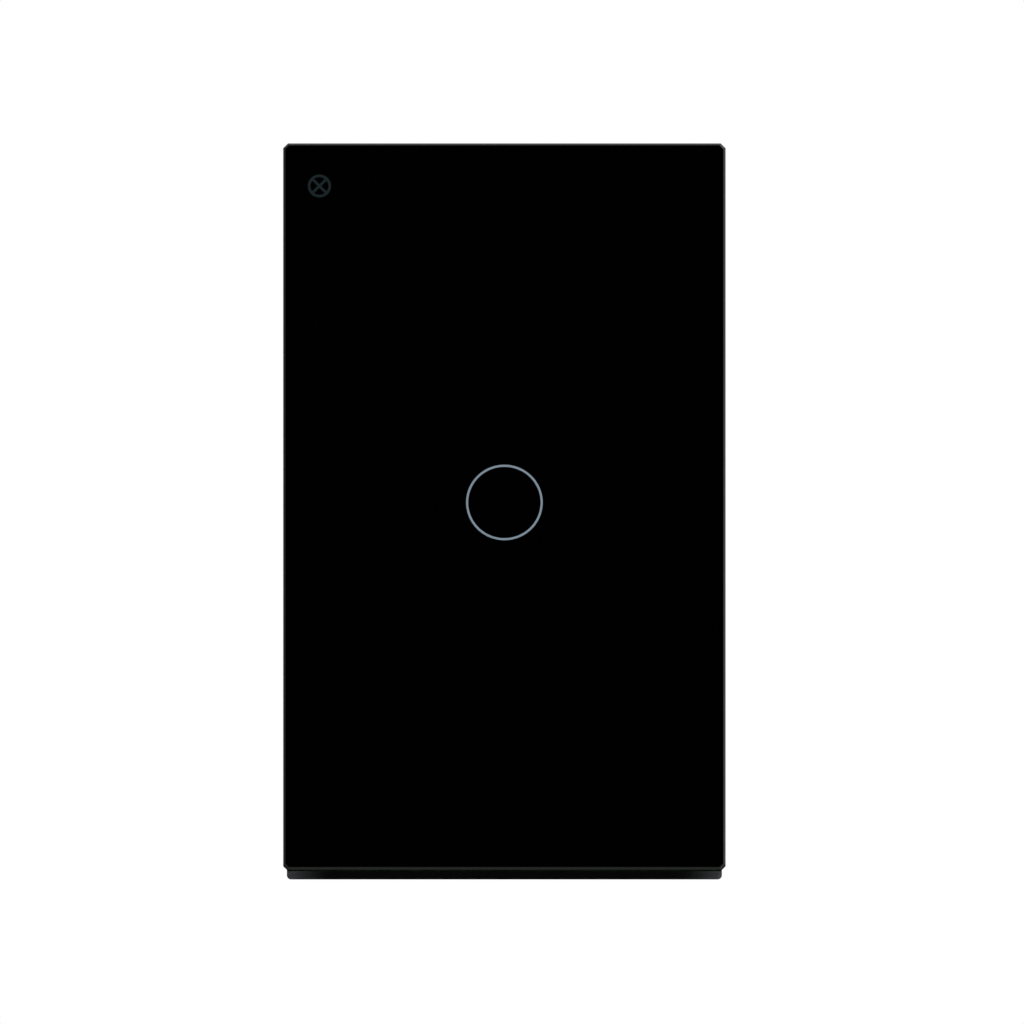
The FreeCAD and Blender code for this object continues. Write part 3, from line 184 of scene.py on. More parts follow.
def speckle(tree, places, grain_mm, detail=3.0):
    """Noise whose lumps are about grain_mm across."""
    noise = tree.nodes.new("ShaderNodeTexNoise")
    noise.inputs["Scale"].default_value = 1.0 / (grain_mm * MM)
    noise.inputs["Detail"].default_value = detail
    link(tree, places, noise.inputs["Vector"])
    return noise.outputs["Fac"]


def blend(tree, amount, first, second):
    """Mixes two colours, or the colours of two sockets."""
    mix = tree.nodes.new("ShaderNodeMix")
    mix.data_type = "RGBA"
    link(tree, amount, mix.inputs["Factor"])
    for slot, colour in ((mix.inputs[6], first), (mix.inputs[7], second)):
        if isinstance(colour, bpy.types.NodeSocket):
            link(tree, colour, slot)
        else:
            slot.default_value = (*colour, 1.0)
    return mix.outputs[2]


def sheen(tree, shader, grain, low, high):
    """Roughness from low to high, by the grain."""
    link(tree, between(tree, grain, 0.3, 0.7, low, high), shader.inputs["Roughness"])


def dress(name, finish):
    mesh = nodes[name].data
    mesh.materials.clear()
    mesh.materials.append(finish)


def inked_glass():
    finish, tree, shader, places = new_finish("inked_glass")
    y = axes(tree, places)[1]
    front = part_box("glass_panel")[0].y
    ground = between(tree, y, front + 0.05 * MM, front + 0.12 * MM, 0.0, 1.0)
    scuff = speckle(tree, places, 0.12)
    wipe = speckle(tree, places, 14.0, 2.0)
    edge = blend(tree, scuff, (0.002, 0.007, 0.002), (0.01, 0.018, 0.009))
    face = blend(tree, wipe, (0.0, 0.0, 0.0), (0.0006, 0.0006, 0.0007))
    link(tree, blend(tree, ground, face, edge), shader.inputs["Base Color"])
    gloss = tree.nodes.new("ShaderNodeMix")
    link(tree, ground, gloss.inputs["Factor"])
    link(tree, between(tree, wipe, 0.3, 0.7, 0.02, 0.035), gloss.inputs["A"])
    link(tree, between(tree, scuff, 0.3, 0.7, 0.16, 0.3), gloss.inputs["B"])
    link(tree, gloss.outputs["Result"], shader.inputs["Roughness"])
    return finish


dress("glass_panel", inked_glass())


# Touch ring and lamp sign. Glass enamel, printed into shallow grooves of the face and fired, so it lies
# flush with the glass. The ring is pale blue-grey, and the sign only a shade lighter than the glass.
def scaled(colour, amount):
    return tuple(part * amount for part in colour)


def relief(tree, shader, heights, depth_mm, strength=0.6):
    bump = tree.nodes.new("ShaderNodeBump")
    bump.inputs["Distance"].default_value = depth_mm * MM
    bump.inputs["Strength"].default_value = strength
    link(tree, heights, bump.inputs["Height"])
    link(tree, bump.outputs["Normal"], shader.inputs["Normal"])


def enamel(name, colour, mottle):
    finish, tree, shader, places = new_finish(name)
    grain = speckle(tree, places, 0.08)
    wash = speckle(tree, places, 2.5, 2.0)
    grainy = blend(tree, grain, scaled(colour, 1.0 - mottle), scaled(colour, 1.0 + mottle))
    link(tree, blend(tree, wash, grainy, scaled(colour, 1.0 - mottle / 2)), shader.inputs["Base Color"])
    sheen(tree, shader, grain, 0.25, 0.4)
    relief(tree, shader, grain, 0.004)
    return finish


dress("touch_ring", enamel("ring_enamel", (0.26, 0.33, 0.395), 0.08))
dress("lamp_symbol", enamel("sign_enamel", (0.006, 0.016, 0.0185), 0.2))


# Ink and tape. A satin black ink is screened on the back of the glass, and a die-cut ring of black foam
# tape bonds the glass to the frame.
def matt_coat(name, colour, grain_mm, depth_mm, rough):
    finish, tree, shader, places = new_finish(name)
    grain = speckle(tree, places, grain_mm, 5.0)
    wash = speckle(tree, places, 9.0, 2.0)
    tone = blend(tree, grain, scaled(colour, 0.7), scaled(colour, 1.35))
    link(tree, blend(tree, wash, tone, colour), shader.inputs["Base Color"])
    sheen(tree, shader, grain, rough - 0.08, rough + 0.08)
    relief(tree, shader, grain, depth_mm)
    return finish


dress("ink_layer", matt_coat("screened_ink", (0.006, 0.006, 0.007), 0.1, 0.004, 0.45))
dress("panel_tape", matt_coat("foam_tape", (0.02, 0.02, 0.021), 0.22, 0.05, 0.85))


# Panel frame. Moulded in black polycarbonate from a spark-eroded tool, so it has a fine even grain, with
# four tongues that hook into the plate and a notch in its top edge for a screwdriver. Its four corners
# are painted a little greyer, as a painted highlight.
def soften(name, radius_mm, sharp_deg=32.0, steps=2):
    """Breaks a node's edges as a mould or a tumbler does. Its flat faces are made whole first."""
    piece = nodes[name]
    weld = piece.modifiers.new("weld", "WELD")
    weld.merge_threshold = 1e-6
    flats = piece.modifiers.new("flats", "DECIMATE")
    flats.decimate_type = "DISSOLVE"
    flats.angle_limit = math.radians(0.6)
    edges = piece.modifiers.new("broken_edges", "BEVEL")
    edges.width = radius_mm * MM
    edges.segments = steps
    edges.limit_method = "ANGLE"
    edges.angle_limit = math.radians(sharp_deg)
    edges.use_clamp_overlap = True
    piece.modifiers.new("even_shading", "WEIGHTED_NORMAL")


def rubbed(tree, reach_mm):
    """1 along a piece's edges, where hands and tools polish it, and 0 on its flats."""
    rounded = tree.nodes.new("ShaderNodeBevel")
    rounded.samples = 4
    rounded.inputs["Radius"].default_value = reach_mm * MM
    turn = tree.nodes.new("ShaderNodeVectorMath")
    turn.operation = "DOT_PRODUCT"
    link(tree, rounded.outputs[0], turn.inputs[0])
    link(tree, tree.nodes.new("ShaderNodeNewGeometry").outputs["True Normal"], turn.inputs[1])
    return between(tree, turn.outputs["Value"], 0.97, 0.8, 0.0, 1.0)


def pulled(tree, places, stretch):
    """Places scaled along each axis. What is made of them is drawn out where the scale is below 1."""
    mapping = tree.nodes.new("ShaderNodeMapping")
    mapping.inputs["Scale"].default_value = stretch
    link(tree, places, mapping.inputs["Vector"])
    return mapping.outputs["Vector"]


def moulded(name, colour, rough, grain_mm=0.25, depth_mm=0.012, flow=0.12, pit_shade_amount=0.25):
    """Moulded plastic: a grain with pits, painted shade in those pits, faint clouds where the melt flowed,
    and rubbed edges.
    """
    finish, tree, shader, places = new_finish(name)
    grain = speckle(tree, places, grain_mm, 4.0)
    clouds = speckle(tree, pulled(tree, places, (1.0, 1.0, 0.35)), 7.0)
    edge = rubbed(tree, 0.25)
    tone = blend(tree, clouds, scaled(colour, 1.0 - flow), scaled(colour, 1.0 + flow))
    # Painted shade: the pits of the grain, where the bump is lowest, are darkened towards half the colour.
    pit_shaded = blend(tree, between(tree, grain, 0.35, 0.6, pit_shade_amount, 0.0), tone, scaled(colour, 0.5))
    worn = tuple(part + 0.011 for part in colour)
    link(tree, blend(tree, edge, pit_shaded, worn), shader.inputs["Base Color"])
    matt = between(tree, grain, 0.3, 0.7, rough - 0.06, rough + 0.06)
    polish = arithmetic(tree, "MULTIPLY", edge, 0.1)
    link(tree, arithmetic(tree, "SUBTRACT", matt, polish), shader.inputs["Roughness"])
    relief(tree, shader, grain, depth_mm)
    return finish


def reopened(finish):
    """The tree, the shader and the three axes of a finish that was made before."""
    tree = finish.node_tree
    places = tree.nodes["Texture Coordinate"].outputs["Object"]
    return tree, tree.nodes["Principled BSDF"], axes(tree, places)


def lay_over(tree, shader, where, colour):
    """Lays a colour over the finish's own where the number is 1."""
    under = shader.inputs["Base Color"].links[0].from_socket
    link(tree, blend(tree, where, under, colour), shader.inputs["Base Color"])


def corner_highlight_paint(finish, colour):
    """Painted highlight: greyer plastic round the four corners of the frame."""
    tree, shader, (x, _, z) = reopened(finish)
    sides = between(tree, arithmetic(tree, "ABSOLUTE", x), 27.5 * MM, 35.6 * MM, 0.0, 1.0)
    ends = between(tree, arithmetic(tree, "ABSOLUTE", z), 51.0 * MM, 58.5 * MM, 0.0, 1.0)
    # Painted highlight, strongest where the two ramps meet at the corners.
    corner_highlight = arithmetic(tree, "POWER", arithmetic(tree, "MULTIPLY", sides, ends), 2.0)
    lay_over(tree, shader, corner_highlight, colour)
    shader.inputs["Specular IOR Level"].default_value = 0.35
    return finish


frame_plastic = moulded("frame_plastic", (0.0015, 0.0018, 0.0018), 0.3, 0.25, 0.006)
# The frame's four corners get a painted highlight.
dress("panel_frame", corner_highlight_paint(frame_plastic, (0.072, 0.076, 0.08)))
soften("panel_frame", 0.15)


# Mounting plate. Moulded in black glass-filled nylon, with the slots for the box screws, a rim that the
# frame slides over, and the bosses and posts that carry everything else. An arrow shows its top, and
# small round witness marks show where the ejector pins pushed it out of the tool.
def piece_from(name, form, finish, body="base"):
    """Makes a finished piece of a bmesh, in place, and says what it rides on."""
    bmesh.ops.remove_doubles(form, verts=form.verts, dist=1e-7)
    bmesh.ops.recalc_face_normals(form, faces=form.faces)
    mesh = bpy.data.meshes.new(name)
    form.to_mesh(mesh)
    form.free()
    piece = bpy.data.objects.new(name, mesh)
    bpy.context.collection.objects.link(piece)
    mesh.materials.append(finish)
    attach(piece, body)
    return piece


def block(form, low, high):
    middle = [(a + b) / 2 for a, b in zip(low, high)]
    size = [b - a for a, b in zip(low, high)]
    place = Matrix.Translation(middle) @ Matrix.Diagonal((*size, 1.0))
    bmesh.ops.create_cube(form, size=1.0, matrix=place)


def peg(form, x, z, radius, y0, y1, sides=24):
    """A round peg along the depth, from y0 to y1."""
    place = Matrix.Translation((x, (y0 + y1) / 2, z)) @ Matrix.Rotation(math.radians(90), 4, "X")
    bmesh.ops.create_cone(form, cap_ends=True, segments=sides, radius1=radius, radius2=radius,
                          depth=abs(y1 - y0), matrix=place)


plate_nylon = moulded("plate_nylon", (0.017, 0.018, 0.019), 0.55, 0.35, 0.02)
dress("mounting_plate", plate_nylon)
soften("mounting_plate", 0.15)

plate_face = -2.0 * MM
arrow_top = plate_face - 0.35 * MM
pin_mark_top = plate_face - 0.06 * MM
head_middle, head_radius = 51.5 * MM, 2.2 * MM
shaft_foot, shaft_top, shaft_half = 47.2 * MM, 51.2 * MM, 0.6 * MM
marks_form = bmesh.new()
peg(marks_form, 0.0, head_middle, head_radius, plate_face, arrow_top, sides=3)
block(marks_form, (-shaft_half, arrow_top, shaft_foot), (shaft_half, plate_face, shaft_top))
pins_mm = ((26.0, 50.0), (26.0, -50.0), (26.0, 0.0), (12.0, 50.0), (12.0, -50.0))
for side in (-1, 1):
    for x, z in pins_mm:
        peg(marks_form, side * x * MM, z * MM, 1.5 * MM, plate_face, pin_mark_top)
piece_from("plate_marks", marks_form, plate_nylon)


# Rear housing. Moulded in pale grey flame-safe polycarbonate and screwed to the plate from behind, with
# wells for its screws, holes for the wires and the terminal screws, and slots that let the heat out.
# A polyester label sits in its recess, and raised dots count the terminals.
housing_plastic = moulded("housing_plastic", (0.50, 0.505, 0.49), 0.45, 0.3, 0.014, 0.03, 0.1)
dress("rear_housing", housing_plastic)
soften("rear_housing", 0.2)

housing_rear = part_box("rear_housing")[1].y
label_recess = 0.3 * MM
label_thickness = 0.1 * MM
label_floor = housing_rear - label_recess
label_face = label_floor + label_thickness
label_middle = 6.05 * MM
label_reach = 14.6 * MM
label_form = bmesh.new()
block(label_form, (-label_reach, label_floor, label_middle - label_reach),
      (label_reach, label_face, label_middle + label_reach))
corners = [edge for edge in label_form.edges
           if (edge.verts[0].co - edge.verts[1].co).xz.length < 1e-7]
bmesh.ops.bevel(label_form, geom=corners, offset=1.3 * MM, segments=6, profile=0.5,
                affect="EDGES", material=-1)
piece_from("housing_label", label_form, matt_coat("label_film", (0.62, 0.63, 0.62), 0.35, 0.003, 0.38))


def ribbon(form, points, width, y0, y1):
    """A flat line through (x, z) places, with mitred corners. It may end where it starts."""
    spots = [Vector(point) for point in points]
    closed = (spots[0] - spots[-1]).length < 1e-7
    if closed:
        befores, afters = [spots[-2]] + spots[:-1], spots[1:] + [spots[1]]
    else:
        for end, beside in ((0, 1), (-1, -2)):
            spots[end] = spots[end] + (spots[end] - spots[beside]).normalized() * width / 2
        befores, afters = [None] + spots[:-1], spots[1:] + [None]
    pair, first, flats = None, None, []
    for spot, before, after in zip(spots, befores, afters):
        ways = [way for way in (before and spot - before, after and after - spot) if way]
        sides = [Vector((-way.y, way.x)).normalized() for way in ways]
        side = sum(sides, Vector((0.0, 0.0))).normalized()
        side *= width / 2 / side.dot(sides[0])
        places = [Vector((spot.x + turn * side.x, y0, spot.y + turn * side.y)) for turn in (1, -1)]
        if pair is None:
            pair = first = [form.verts.new(place) for place in places]
            form.edges.new(pair)
            continue
        grown = bmesh.ops.extrude_edge_only(form, edges=[form.edges.get(pair)])["geom"]
        flats += [part for part in grown if isinstance(part, bmesh.types.BMFace)]
        fresh = [part for part in grown if isinstance(part, bmesh.types.BMVert)]
        pair = sorted(fresh, key=lambda vert: (vert.co - pair[0].co).length)
        for vert, place in zip(pair, places):
            vert.co = place
    if closed:
        bmesh.ops.remove_doubles(form, verts=first + pair, dist=1e-7)
    top = bmesh.ops.extrude_face_region(form, geom=flats)["geom"]
    bmesh.ops.translate(form, verts=[part for part in top if isinstance(part, bmesh.types.BMVert)],
                        vec=(0.0, y1 - y0, 0.0))


def circle_line(form, x, z, radius, width, y0, y1, sides=28):
    """A round line, turned about the depth axis from its square section."""
    inner, outer = x + radius - width / 2, x + radius + width / 2
    section = [form.verts.new((r, y, z)) for r, y in ((inner, y0), (outer, y0), (outer, y1), (inner, y1))]
    lines = [form.edges.new((section[i - 1], section[i])) for i in range(4)]
    bmesh.ops.spin(form, geom=section + lines, cent=(x, 0.0, z), axis=(0.0, 1.0, 0.0),
                   angle=2 * math.pi, steps=sides, use_merge=True)


def box_line(form, low, high, width, y0, y1):
    """A line round a rectangle whose corners are the (x, z) places low and high."""
    ribbon(form, [low, (high[0], low[1]), high, (low[0], high[1]), low], width, y0, y1)


# The label's print is a plain wiring sketch: three terminals in the outline of the switch, its contact and
# its supply inside, and the lamp and the two mains lines outside.
sketch_form = bmesh.new()
ink_width = 0.35 * MM
ring_mm = 1.2
lamp_mm = 2.2
terminal_centres = [sum(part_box(f"terminal_screw_{n}"), Vector()) / 2 for n in (1, 2, 3)]
load, live, neutral = (-centre.x / MM for centre in terminal_centres)
rings_z, lamp_z, neutral_z, live_z, rail_z = 3.0, -4.8, -12.0, -9.0, 10.8
outline_low, outline_high = (-11.0, 0.6), (11.0, 12.4)
(supply_left, supply_foot), (supply_right, supply_top) = (-5.9, 6.2), (-2.6, 9.2)
supply_x, tap_z, dashes_z, tip_z, cross, mains_x = -4.25, 5.2, 7.7, 9.4, 1.5, -12.0


def on_label(points):
    """Places on the label as it is read from behind, where x runs the other way."""
    return [(-x * MM, label_middle + z * MM) for x, z in points]


def ink_y(layer):
    """Each line lies a hair over the last one, as crossing lines of ink do."""
    return label_face, label_face + (0.015 + 0.0015 * layer) * MM


box_line(sketch_form, *on_label([outline_low, outline_high]), ink_width, *ink_y(0))
for x, z, radius in ((neutral, rings_z, ring_mm), (live, rings_z, ring_mm), (load, rings_z, ring_mm),
                     (load, lamp_z, lamp_mm)):
    circle_line(sketch_form, *on_label([(x, z)])[0], radius * MM, ink_width, *ink_y(1))
for layer, run in enumerate((
    [(live, rings_z + ring_mm), (live, supply_foot), (live + 2.4, tip_z)],
    [(live, tip_z), (live, rail_z), (load, rail_z), (load, rings_z + ring_mm)],
    [(live, tap_z), (supply_x, tap_z), (supply_x, supply_foot)],
    [(supply_x, supply_top), (supply_x, rail_z), (neutral, rail_z), (neutral, rings_z + ring_mm)],
    [(supply_left, supply_foot), (supply_right, supply_foot), (supply_right, supply_top),
     (supply_left, supply_top), (supply_left, supply_foot)],
    [(-2.2, dashes_z), (-1.5, dashes_z)],
    [(-1.0, dashes_z), (-0.3, dashes_z)],
    [(0.2, dashes_z), (0.8, dashes_z)],
    [(load, rings_z - ring_mm), (load, lamp_z + lamp_mm)],
    [(load, lamp_z - lamp_mm), (load, neutral_z), (mains_x, neutral_z)],
    [(neutral, rings_z - ring_mm), (neutral, neutral_z)],
    [(live, rings_z - ring_mm), (live, live_z), (mains_x, live_z)],
    [(load - cross, lamp_z - cross), (load + cross, lamp_z + cross)],
    [(load - cross, lamp_z + cross), (load + cross, lamp_z - cross)],
), start=2):
    ribbon(sketch_form, on_label(run), ink_width, *ink_y(layer))
peg(sketch_form, *on_label([(neutral, neutral_z)])[0], 0.5 * MM, *ink_y(17), sides=14)
piece_from("label_sketch", sketch_form, matt_coat("label_print", (0.03, 0.03, 0.032), 0.15, 0.002, 0.5))

dots_form = bmesh.new()
step_rear = 19.6 * MM
dot_radius = 0.55 * MM
dot_pitch = 1.5 * MM
dots_z = -30.2 * MM
for count, centre in enumerate(terminal_centres, start=1):
    for i in range(count):
        x = centre.x + (i - (count - 1) / 2) * dot_pitch
        flattened = Matrix.Translation((x, step_rear, dots_z)) @ Matrix.Diagonal((1.0, 0.7, 1.0, 1.0))
        bmesh.ops.create_uvsphere(dots_form, u_segments=16, v_segments=8, radius=dot_radius,
                                  matrix=flattened)
piece_from("terminal_dots", dots_form, housing_plastic)


# Screws. Thread-forming screws with pan heads and cross slots, headed from steel wire, zinc plated and
# passivated, so they have a faint yellow and blue cast. Four hold the housing, and two the touch board.
def plated(name, colour, rough, brush=(1.0, 1.0, 1.0), grain_mm=0.12, cast=(1.0, 1.0, 1.0)):
    """Plated or drawn metal: fine lines along one way, an uneven cast of colour, and bright edges."""
    finish, tree, shader, places = new_finish(name)
    lines = speckle(tree, pulled(tree, places, brush), grain_mm, 4.0)
    bloom = speckle(tree, places, 1.4)
    edge = rubbed(tree, 0.12)
    tone = blend(tree, bloom, colour, tuple(a * b for a, b in zip(colour, cast)))
    dulled = blend(tree, between(tree, lines, 0.35, 0.7, 0.0, 0.4), tone, scaled(colour, 0.75))
    link(tree, blend(tree, edge, dulled, tuple(min(1.0, part * 1.2) for part in colour)),
         shader.inputs["Base Color"])
    shader.inputs["Metallic"].default_value = 1.0
    sheen(tree, shader, lines, rough - 0.08, rough + 0.1)
    relief(tree, shader, lines, 0.006)
    return finish


zinc = plated("zinc_plate", (0.62, 0.62, 0.6), 0.3, cast=(1.05, 0.98, 0.82))
dress("housing_screws", zinc)
soften("housing_screws", 0.08)
dress("touch_board_screws", zinc)
soften("touch_board_screws", 0.06)


# Insulating sheet. A die-cut film of milky polyester, drawn lengthwise, that keeps the two boards apart.
# It is laid in before the power board.
def polyester_film():
    finish, tree, shader, places = new_finish("polyester_film")
    scratch = speckle(tree, pulled(tree, places, (1.0, 1.0, 0.05)), 0.2)
    link(tree, blend(tree, scratch, (0.62, 0.63, 0.6), (0.75, 0.76, 0.72)), shader.inputs["Base Color"])
    sheen(tree, shader, scratch, 0.12, 0.3)
    relief(tree, shader, scratch, 0.004)
    return finish


dress("insulating_sheet", polyester_film())


# Touch board. Woven glass board, 1.2 mm, lacquered black, with copper tracks that show through the
# lacquer, tinned pads and a white print. It is screwed to the plate's posts.
def lacquered_board(name, colour, weave_mm=0.55):
    finish, tree, shader, places = new_finish(name)
    x, _, z = axes(tree, places)
    warp, weft = (arithmetic(tree, "SINE", arithmetic(tree, "MULTIPLY", way, 2 * math.pi / (weave_mm * MM)))
                  for way in (x, z))
    weave = arithmetic(tree, "MULTIPLY", warp, weft)
    wash = speckle(tree, places, 5.0)
    tone = blend(tree, between(tree, weave, -1.0, 1.0, 0.0, 1.0), scaled(colour, 0.82), scaled(colour, 1.2))
    link(tree, blend(tree, wash, tone, colour), shader.inputs["Base Color"])
    sheen(tree, shader, wash, 0.22, 0.34)
    relief(tree, shader, weave, 0.006)
    return finish


def islands(name):
    """The lowest and highest corner of each separate solid of a node, from the bottom up."""
    form = bmesh.new()
    form.from_mesh(nodes[name].data)
    bmesh.ops.remove_doubles(form, verts=form.verts, dist=1e-7)
    left = set(form.verts)
    found = []
    while left:
        heap = [left.pop()]
        seen = list(heap)
        while heap:
            for edge in heap.pop().link_edges:
                for vert in edge.verts:
                    if vert in left:
                        left.remove(vert)
                        seen.append(vert)
                        heap.append(vert)
        places = [vert.co for vert in seen]
        found.append((Vector([min(p[i] for p in places) for i in range(3)]),
                      Vector([max(p[i] for p in places) for i in range(3)])))
    form.free()
    return sorted(found, key=lambda pair: (round(pair[0].z, 6), round(pair[0].x, 6)))


def tinned_ends(name, board_y, facing, finish):
    """The tinned ends of small parts that stand along the height, each with its fillet of solder."""
    form = bmesh.new()
    skin, cap = 0.02 * MM, 0.38 * MM
    foot_reach, foot_rise, foot_side = 0.3 * MM, 0.12 * MM, 0.06 * MM
    for low, high in islands(name):
        for end, z in ((-1, low.z), (1, high.z)):
            inner, outer = sorted((z - end * cap, z + end * skin))
            near, far = sorted((board_y, (low.y - skin) if facing < 0 else (high.y + skin)))
            block(form, (low.x - skin, near, inner), (high.x + skin, far, outer))
            near, far = sorted((board_y, board_y + facing * foot_rise))
            inner, outer = sorted((z, z + end * foot_reach))
            block(form, (low.x - foot_side, near, inner), (high.x + foot_side, far, outer))
    piece_from(name + "_ends", form, finish)


dress("touch_board", lacquered_board("black_lacquer", (0.016, 0.018, 0.02)))
soften("touch_board", 0.08)
board_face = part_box("touch_board")[0].y
solder = plated("solder", (0.66, 0.66, 0.64), 0.34, grain_mm=0.1, cast=(1.0, 0.99, 0.95))
board_print = matt_coat("white_print", (0.72, 0.72, 0.7), 0.12, 0.004, 0.6)
part_ceramic = moulded("part_ceramic", (0.36, 0.27, 0.19), 0.4, 0.1, 0.004, 0.25)
dress("touch_board_parts", part_ceramic)
tinned_ends("touch_board_parts", board_face, -1, solder)

chip_low, chip_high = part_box("touch_chip")
header_pins = [(low + high) / 2 for low, high in islands("header_pins")]
leg_pitch = 1.27 * MM
lane_pitch = 0.42 * MM
right_lanes_z, right_lanes_end = 15.0 * MM, 8.0 * MM
left_lanes_end = 4.2 * MM
print_width = 0.18 * MM
tracks_form = bmesh.new()
pads_form = bmesh.new()
print_form = bmesh.new()
track_y = (board_face - 0.03 * MM, board_face)
pad_y = (board_face - 0.05 * MM, board_face)
print_y = (board_face - 0.045 * MM, board_face)
for i in range(7):
    z = (chip_low.z + chip_high.z) / 2 + (i - 3) * leg_pitch
    for side, edge in ((-1, chip_low.x), (1, chip_high.x)):
        near, far = sorted((edge - side * 0.7 * MM, edge + side * 0.5 * MM))
        block(pads_form, (near, pad_y[0], z - 0.3 * MM), (far, pad_y[1], z + 0.3 * MM))
    lane = lane_pitch * (6 - i)
    turn, top = chip_high.x + 0.9 * MM + lane, right_lanes_z + lane
    ribbon(tracks_form, [(chip_high.x, z), (turn, z), (turn, top - 3.0 * MM), (turn - 3.0 * MM, top),
                         (right_lanes_end, top)], 0.2 * MM, *track_y)
    turn, top = chip_low.x - 1.0 * MM - lane, z + 1.4 * MM
    ribbon(tracks_form, [(chip_low.x, z), (turn, z), (turn - 1.4 * MM, top),
                         (left_lanes_end + lane, top)], 0.2 * MM, *track_y)
for pin in header_pins:
    circle_line(pads_form, pin.x, pin.z, 0.75 * MM, 0.45 * MM, *pad_y, sides=20)
    ribbon(tracks_form, [(pin.x, pin.z - 1.0 * MM), (pin.x, pin.z - 3.1 * MM),
                         (pin.x - 1.2 * MM, pin.z - 4.3 * MM), (pin.x - 1.2 * MM, pin.z - 5.9 * MM)],
           0.3 * MM, *track_y)
for low, high in islands("touch_board_screws"):
    x, z = (low.x + high.x) / 2, (low.z + high.z) / 2
    inward = -math.copysign(1.0, x)
    circle_line(pads_form, x, z, 2.25 * MM, 0.5 * MM, *pad_y)
    ribbon(tracks_form, [(x + inward * 3.2 * MM, z), (x + inward * 5.0 * MM, z)], 0.8 * MM, *track_y)
board_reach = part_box("touch_board")[1] - Vector((1.5, 0.0, 1.5)) * MM
radio_right, radio_top = (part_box("radio_board")[1] + Vector((1.0, 0.0, 1.0)) * MM).xz
via_count, via_turn, first_via, via_step = 26, 2.4, 9.6 * MM, 0.52 * MM
for i in range(via_count):
    spoke = first_via + via_step * i
    x, z = spoke * math.cos(via_turn * i) * 0.9, spoke * math.sin(via_turn * i)
    if abs(x) < board_reach.x and abs(z) < board_reach.z and (x > radio_right or z > radio_top):
        peg(pads_form, x, z, 0.28 * MM, *pad_y, sides=10)
chip_margin = Vector((0.6, 0.0, 0.6)) * MM
box_line(print_form, (chip_low - chip_margin).xz, (chip_high + chip_margin).xz, print_width, *print_y)
pin_margin = Vector((1.65, 0.0, 1.65)) * MM
box_line(print_form, (header_pins[0] - pin_margin).xz, (header_pins[-1] + pin_margin).xz, print_width,
         *print_y)
for low, high in islands("touch_board_parts"):
    for x in (low.x - 0.3 * MM, high.x + 0.3 * MM):
        ribbon(print_form, [(x, low.z + 0.3 * MM), (x, high.z - 0.3 * MM)], 0.12 * MM, *print_y)
guide_low, guide_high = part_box("light_guide")
circle_line(print_form, 0.0, (guide_low.z + guide_high.z) / 2, guide_high.x + 0.7 * MM, print_width,
            print_y[0] - 0.005 * MM, print_y[1], sides=72)
peg(print_form, chip_low.x + 0.2 * MM, chip_high.z + 1.3 * MM, 0.35 * MM, *print_y, sides=14)
piece_from("touch_board_tracks", tracks_form, lacquered_board("tracks_under_black", (0.03, 0.034, 0.036)))
piece_from("touch_board_pads", pads_form, solder)
piece_from("touch_board_print", print_form, board_print)


# Touch chip. A black epoxy package with fourteen tinned legs, soldered to its pads. A moulded dimple
# shows the first leg.
def chip_epoxy(name, low_x, high_x, colour=(0.02, 0.02, 0.021)):
    """Epoxy between the legs and tin outside it, because legs and body are one solid."""
    finish, tree, shader, places = new_finish(name)
    x = axes(tree, places)[0]
    grain = speckle(tree, places, 0.09)
    leg = 0.99 * MM
    left = arithmetic(tree, "LESS_THAN", x, low_x + leg)
    right = arithmetic(tree, "GREATER_THAN", x, high_x - leg)
    legs = arithmetic(tree, "MAXIMUM", left, right)
    epoxy = blend(tree, grain, scaled(colour, 0.8), scaled(colour, 1.3))
    tin = blend(tree, grain, (0.5, 0.5, 0.48), (0.7, 0.7, 0.68))
    link(tree, blend(tree, legs, epoxy, tin), shader.inputs["Base Color"])
    link(tree, legs, shader.inputs["Metallic"])
    sheen(tree, shader, grain, 0.35, 0.55)
    relief(tree, shader, grain, 0.008)
    return finish


dimple_epoxy = matt_coat("dimple_epoxy", (0.035, 0.035, 0.036), 0.1, 0.002, 0.25)


def first_leg_dimple(name, x, z, y, facing, radius_mm):
    form = bmesh.new()
    circle_line(form, x, z, radius_mm * MM, 0.12 * MM, *sorted((y, y + facing * 0.02 * MM)), sides=20)
    piece_from(name, form, dimple_epoxy)


dress("touch_chip", chip_epoxy("touch_chip_epoxy", chip_low.x, chip_high.x))
soften("touch_chip", 0.06)
first_leg_dimple("touch_chip_dimple", chip_low.x + 1.7 * MM, chip_high.z - 0.8 * MM, chip_low.y, -1, 0.4)


# Light guide, lamps and touch spring. The guide is moulded in milky acrylic and glued to the board over
# four lamps, and the spring stands inside it, wound from bright stainless wire.
def milky(name, colour, rough):
    finish, tree, shader, places = new_finish(name)
    haze = speckle(tree, places, 1.8)
    link(tree, blend(tree, haze, scaled(colour, 0.96), colour), shader.inputs["Base Color"])
    sheen(tree, shader, haze, rough - 0.06, rough + 0.08)
    shader.inputs["Subsurface Weight"].default_value = 0.35
    shader.inputs["Subsurface Radius"].default_value = (0.002, 0.002, 0.002)
    shader.inputs["Subsurface Scale"].default_value = 0.5
    relief(tree, shader, haze, 0.01)
    return finish


dress("light_guide", milky("milky_acrylic", (0.78, 0.79, 0.78), 0.25))
soften("light_guide", 0.12)
dress("indicator_leds", milky("lamp_resin", (0.8, 0.78, 0.55), 0.2))
dress("touch_spring", plated("spring_wire", (0.72, 0.7, 0.66), 0.2, grain_mm=0.06))


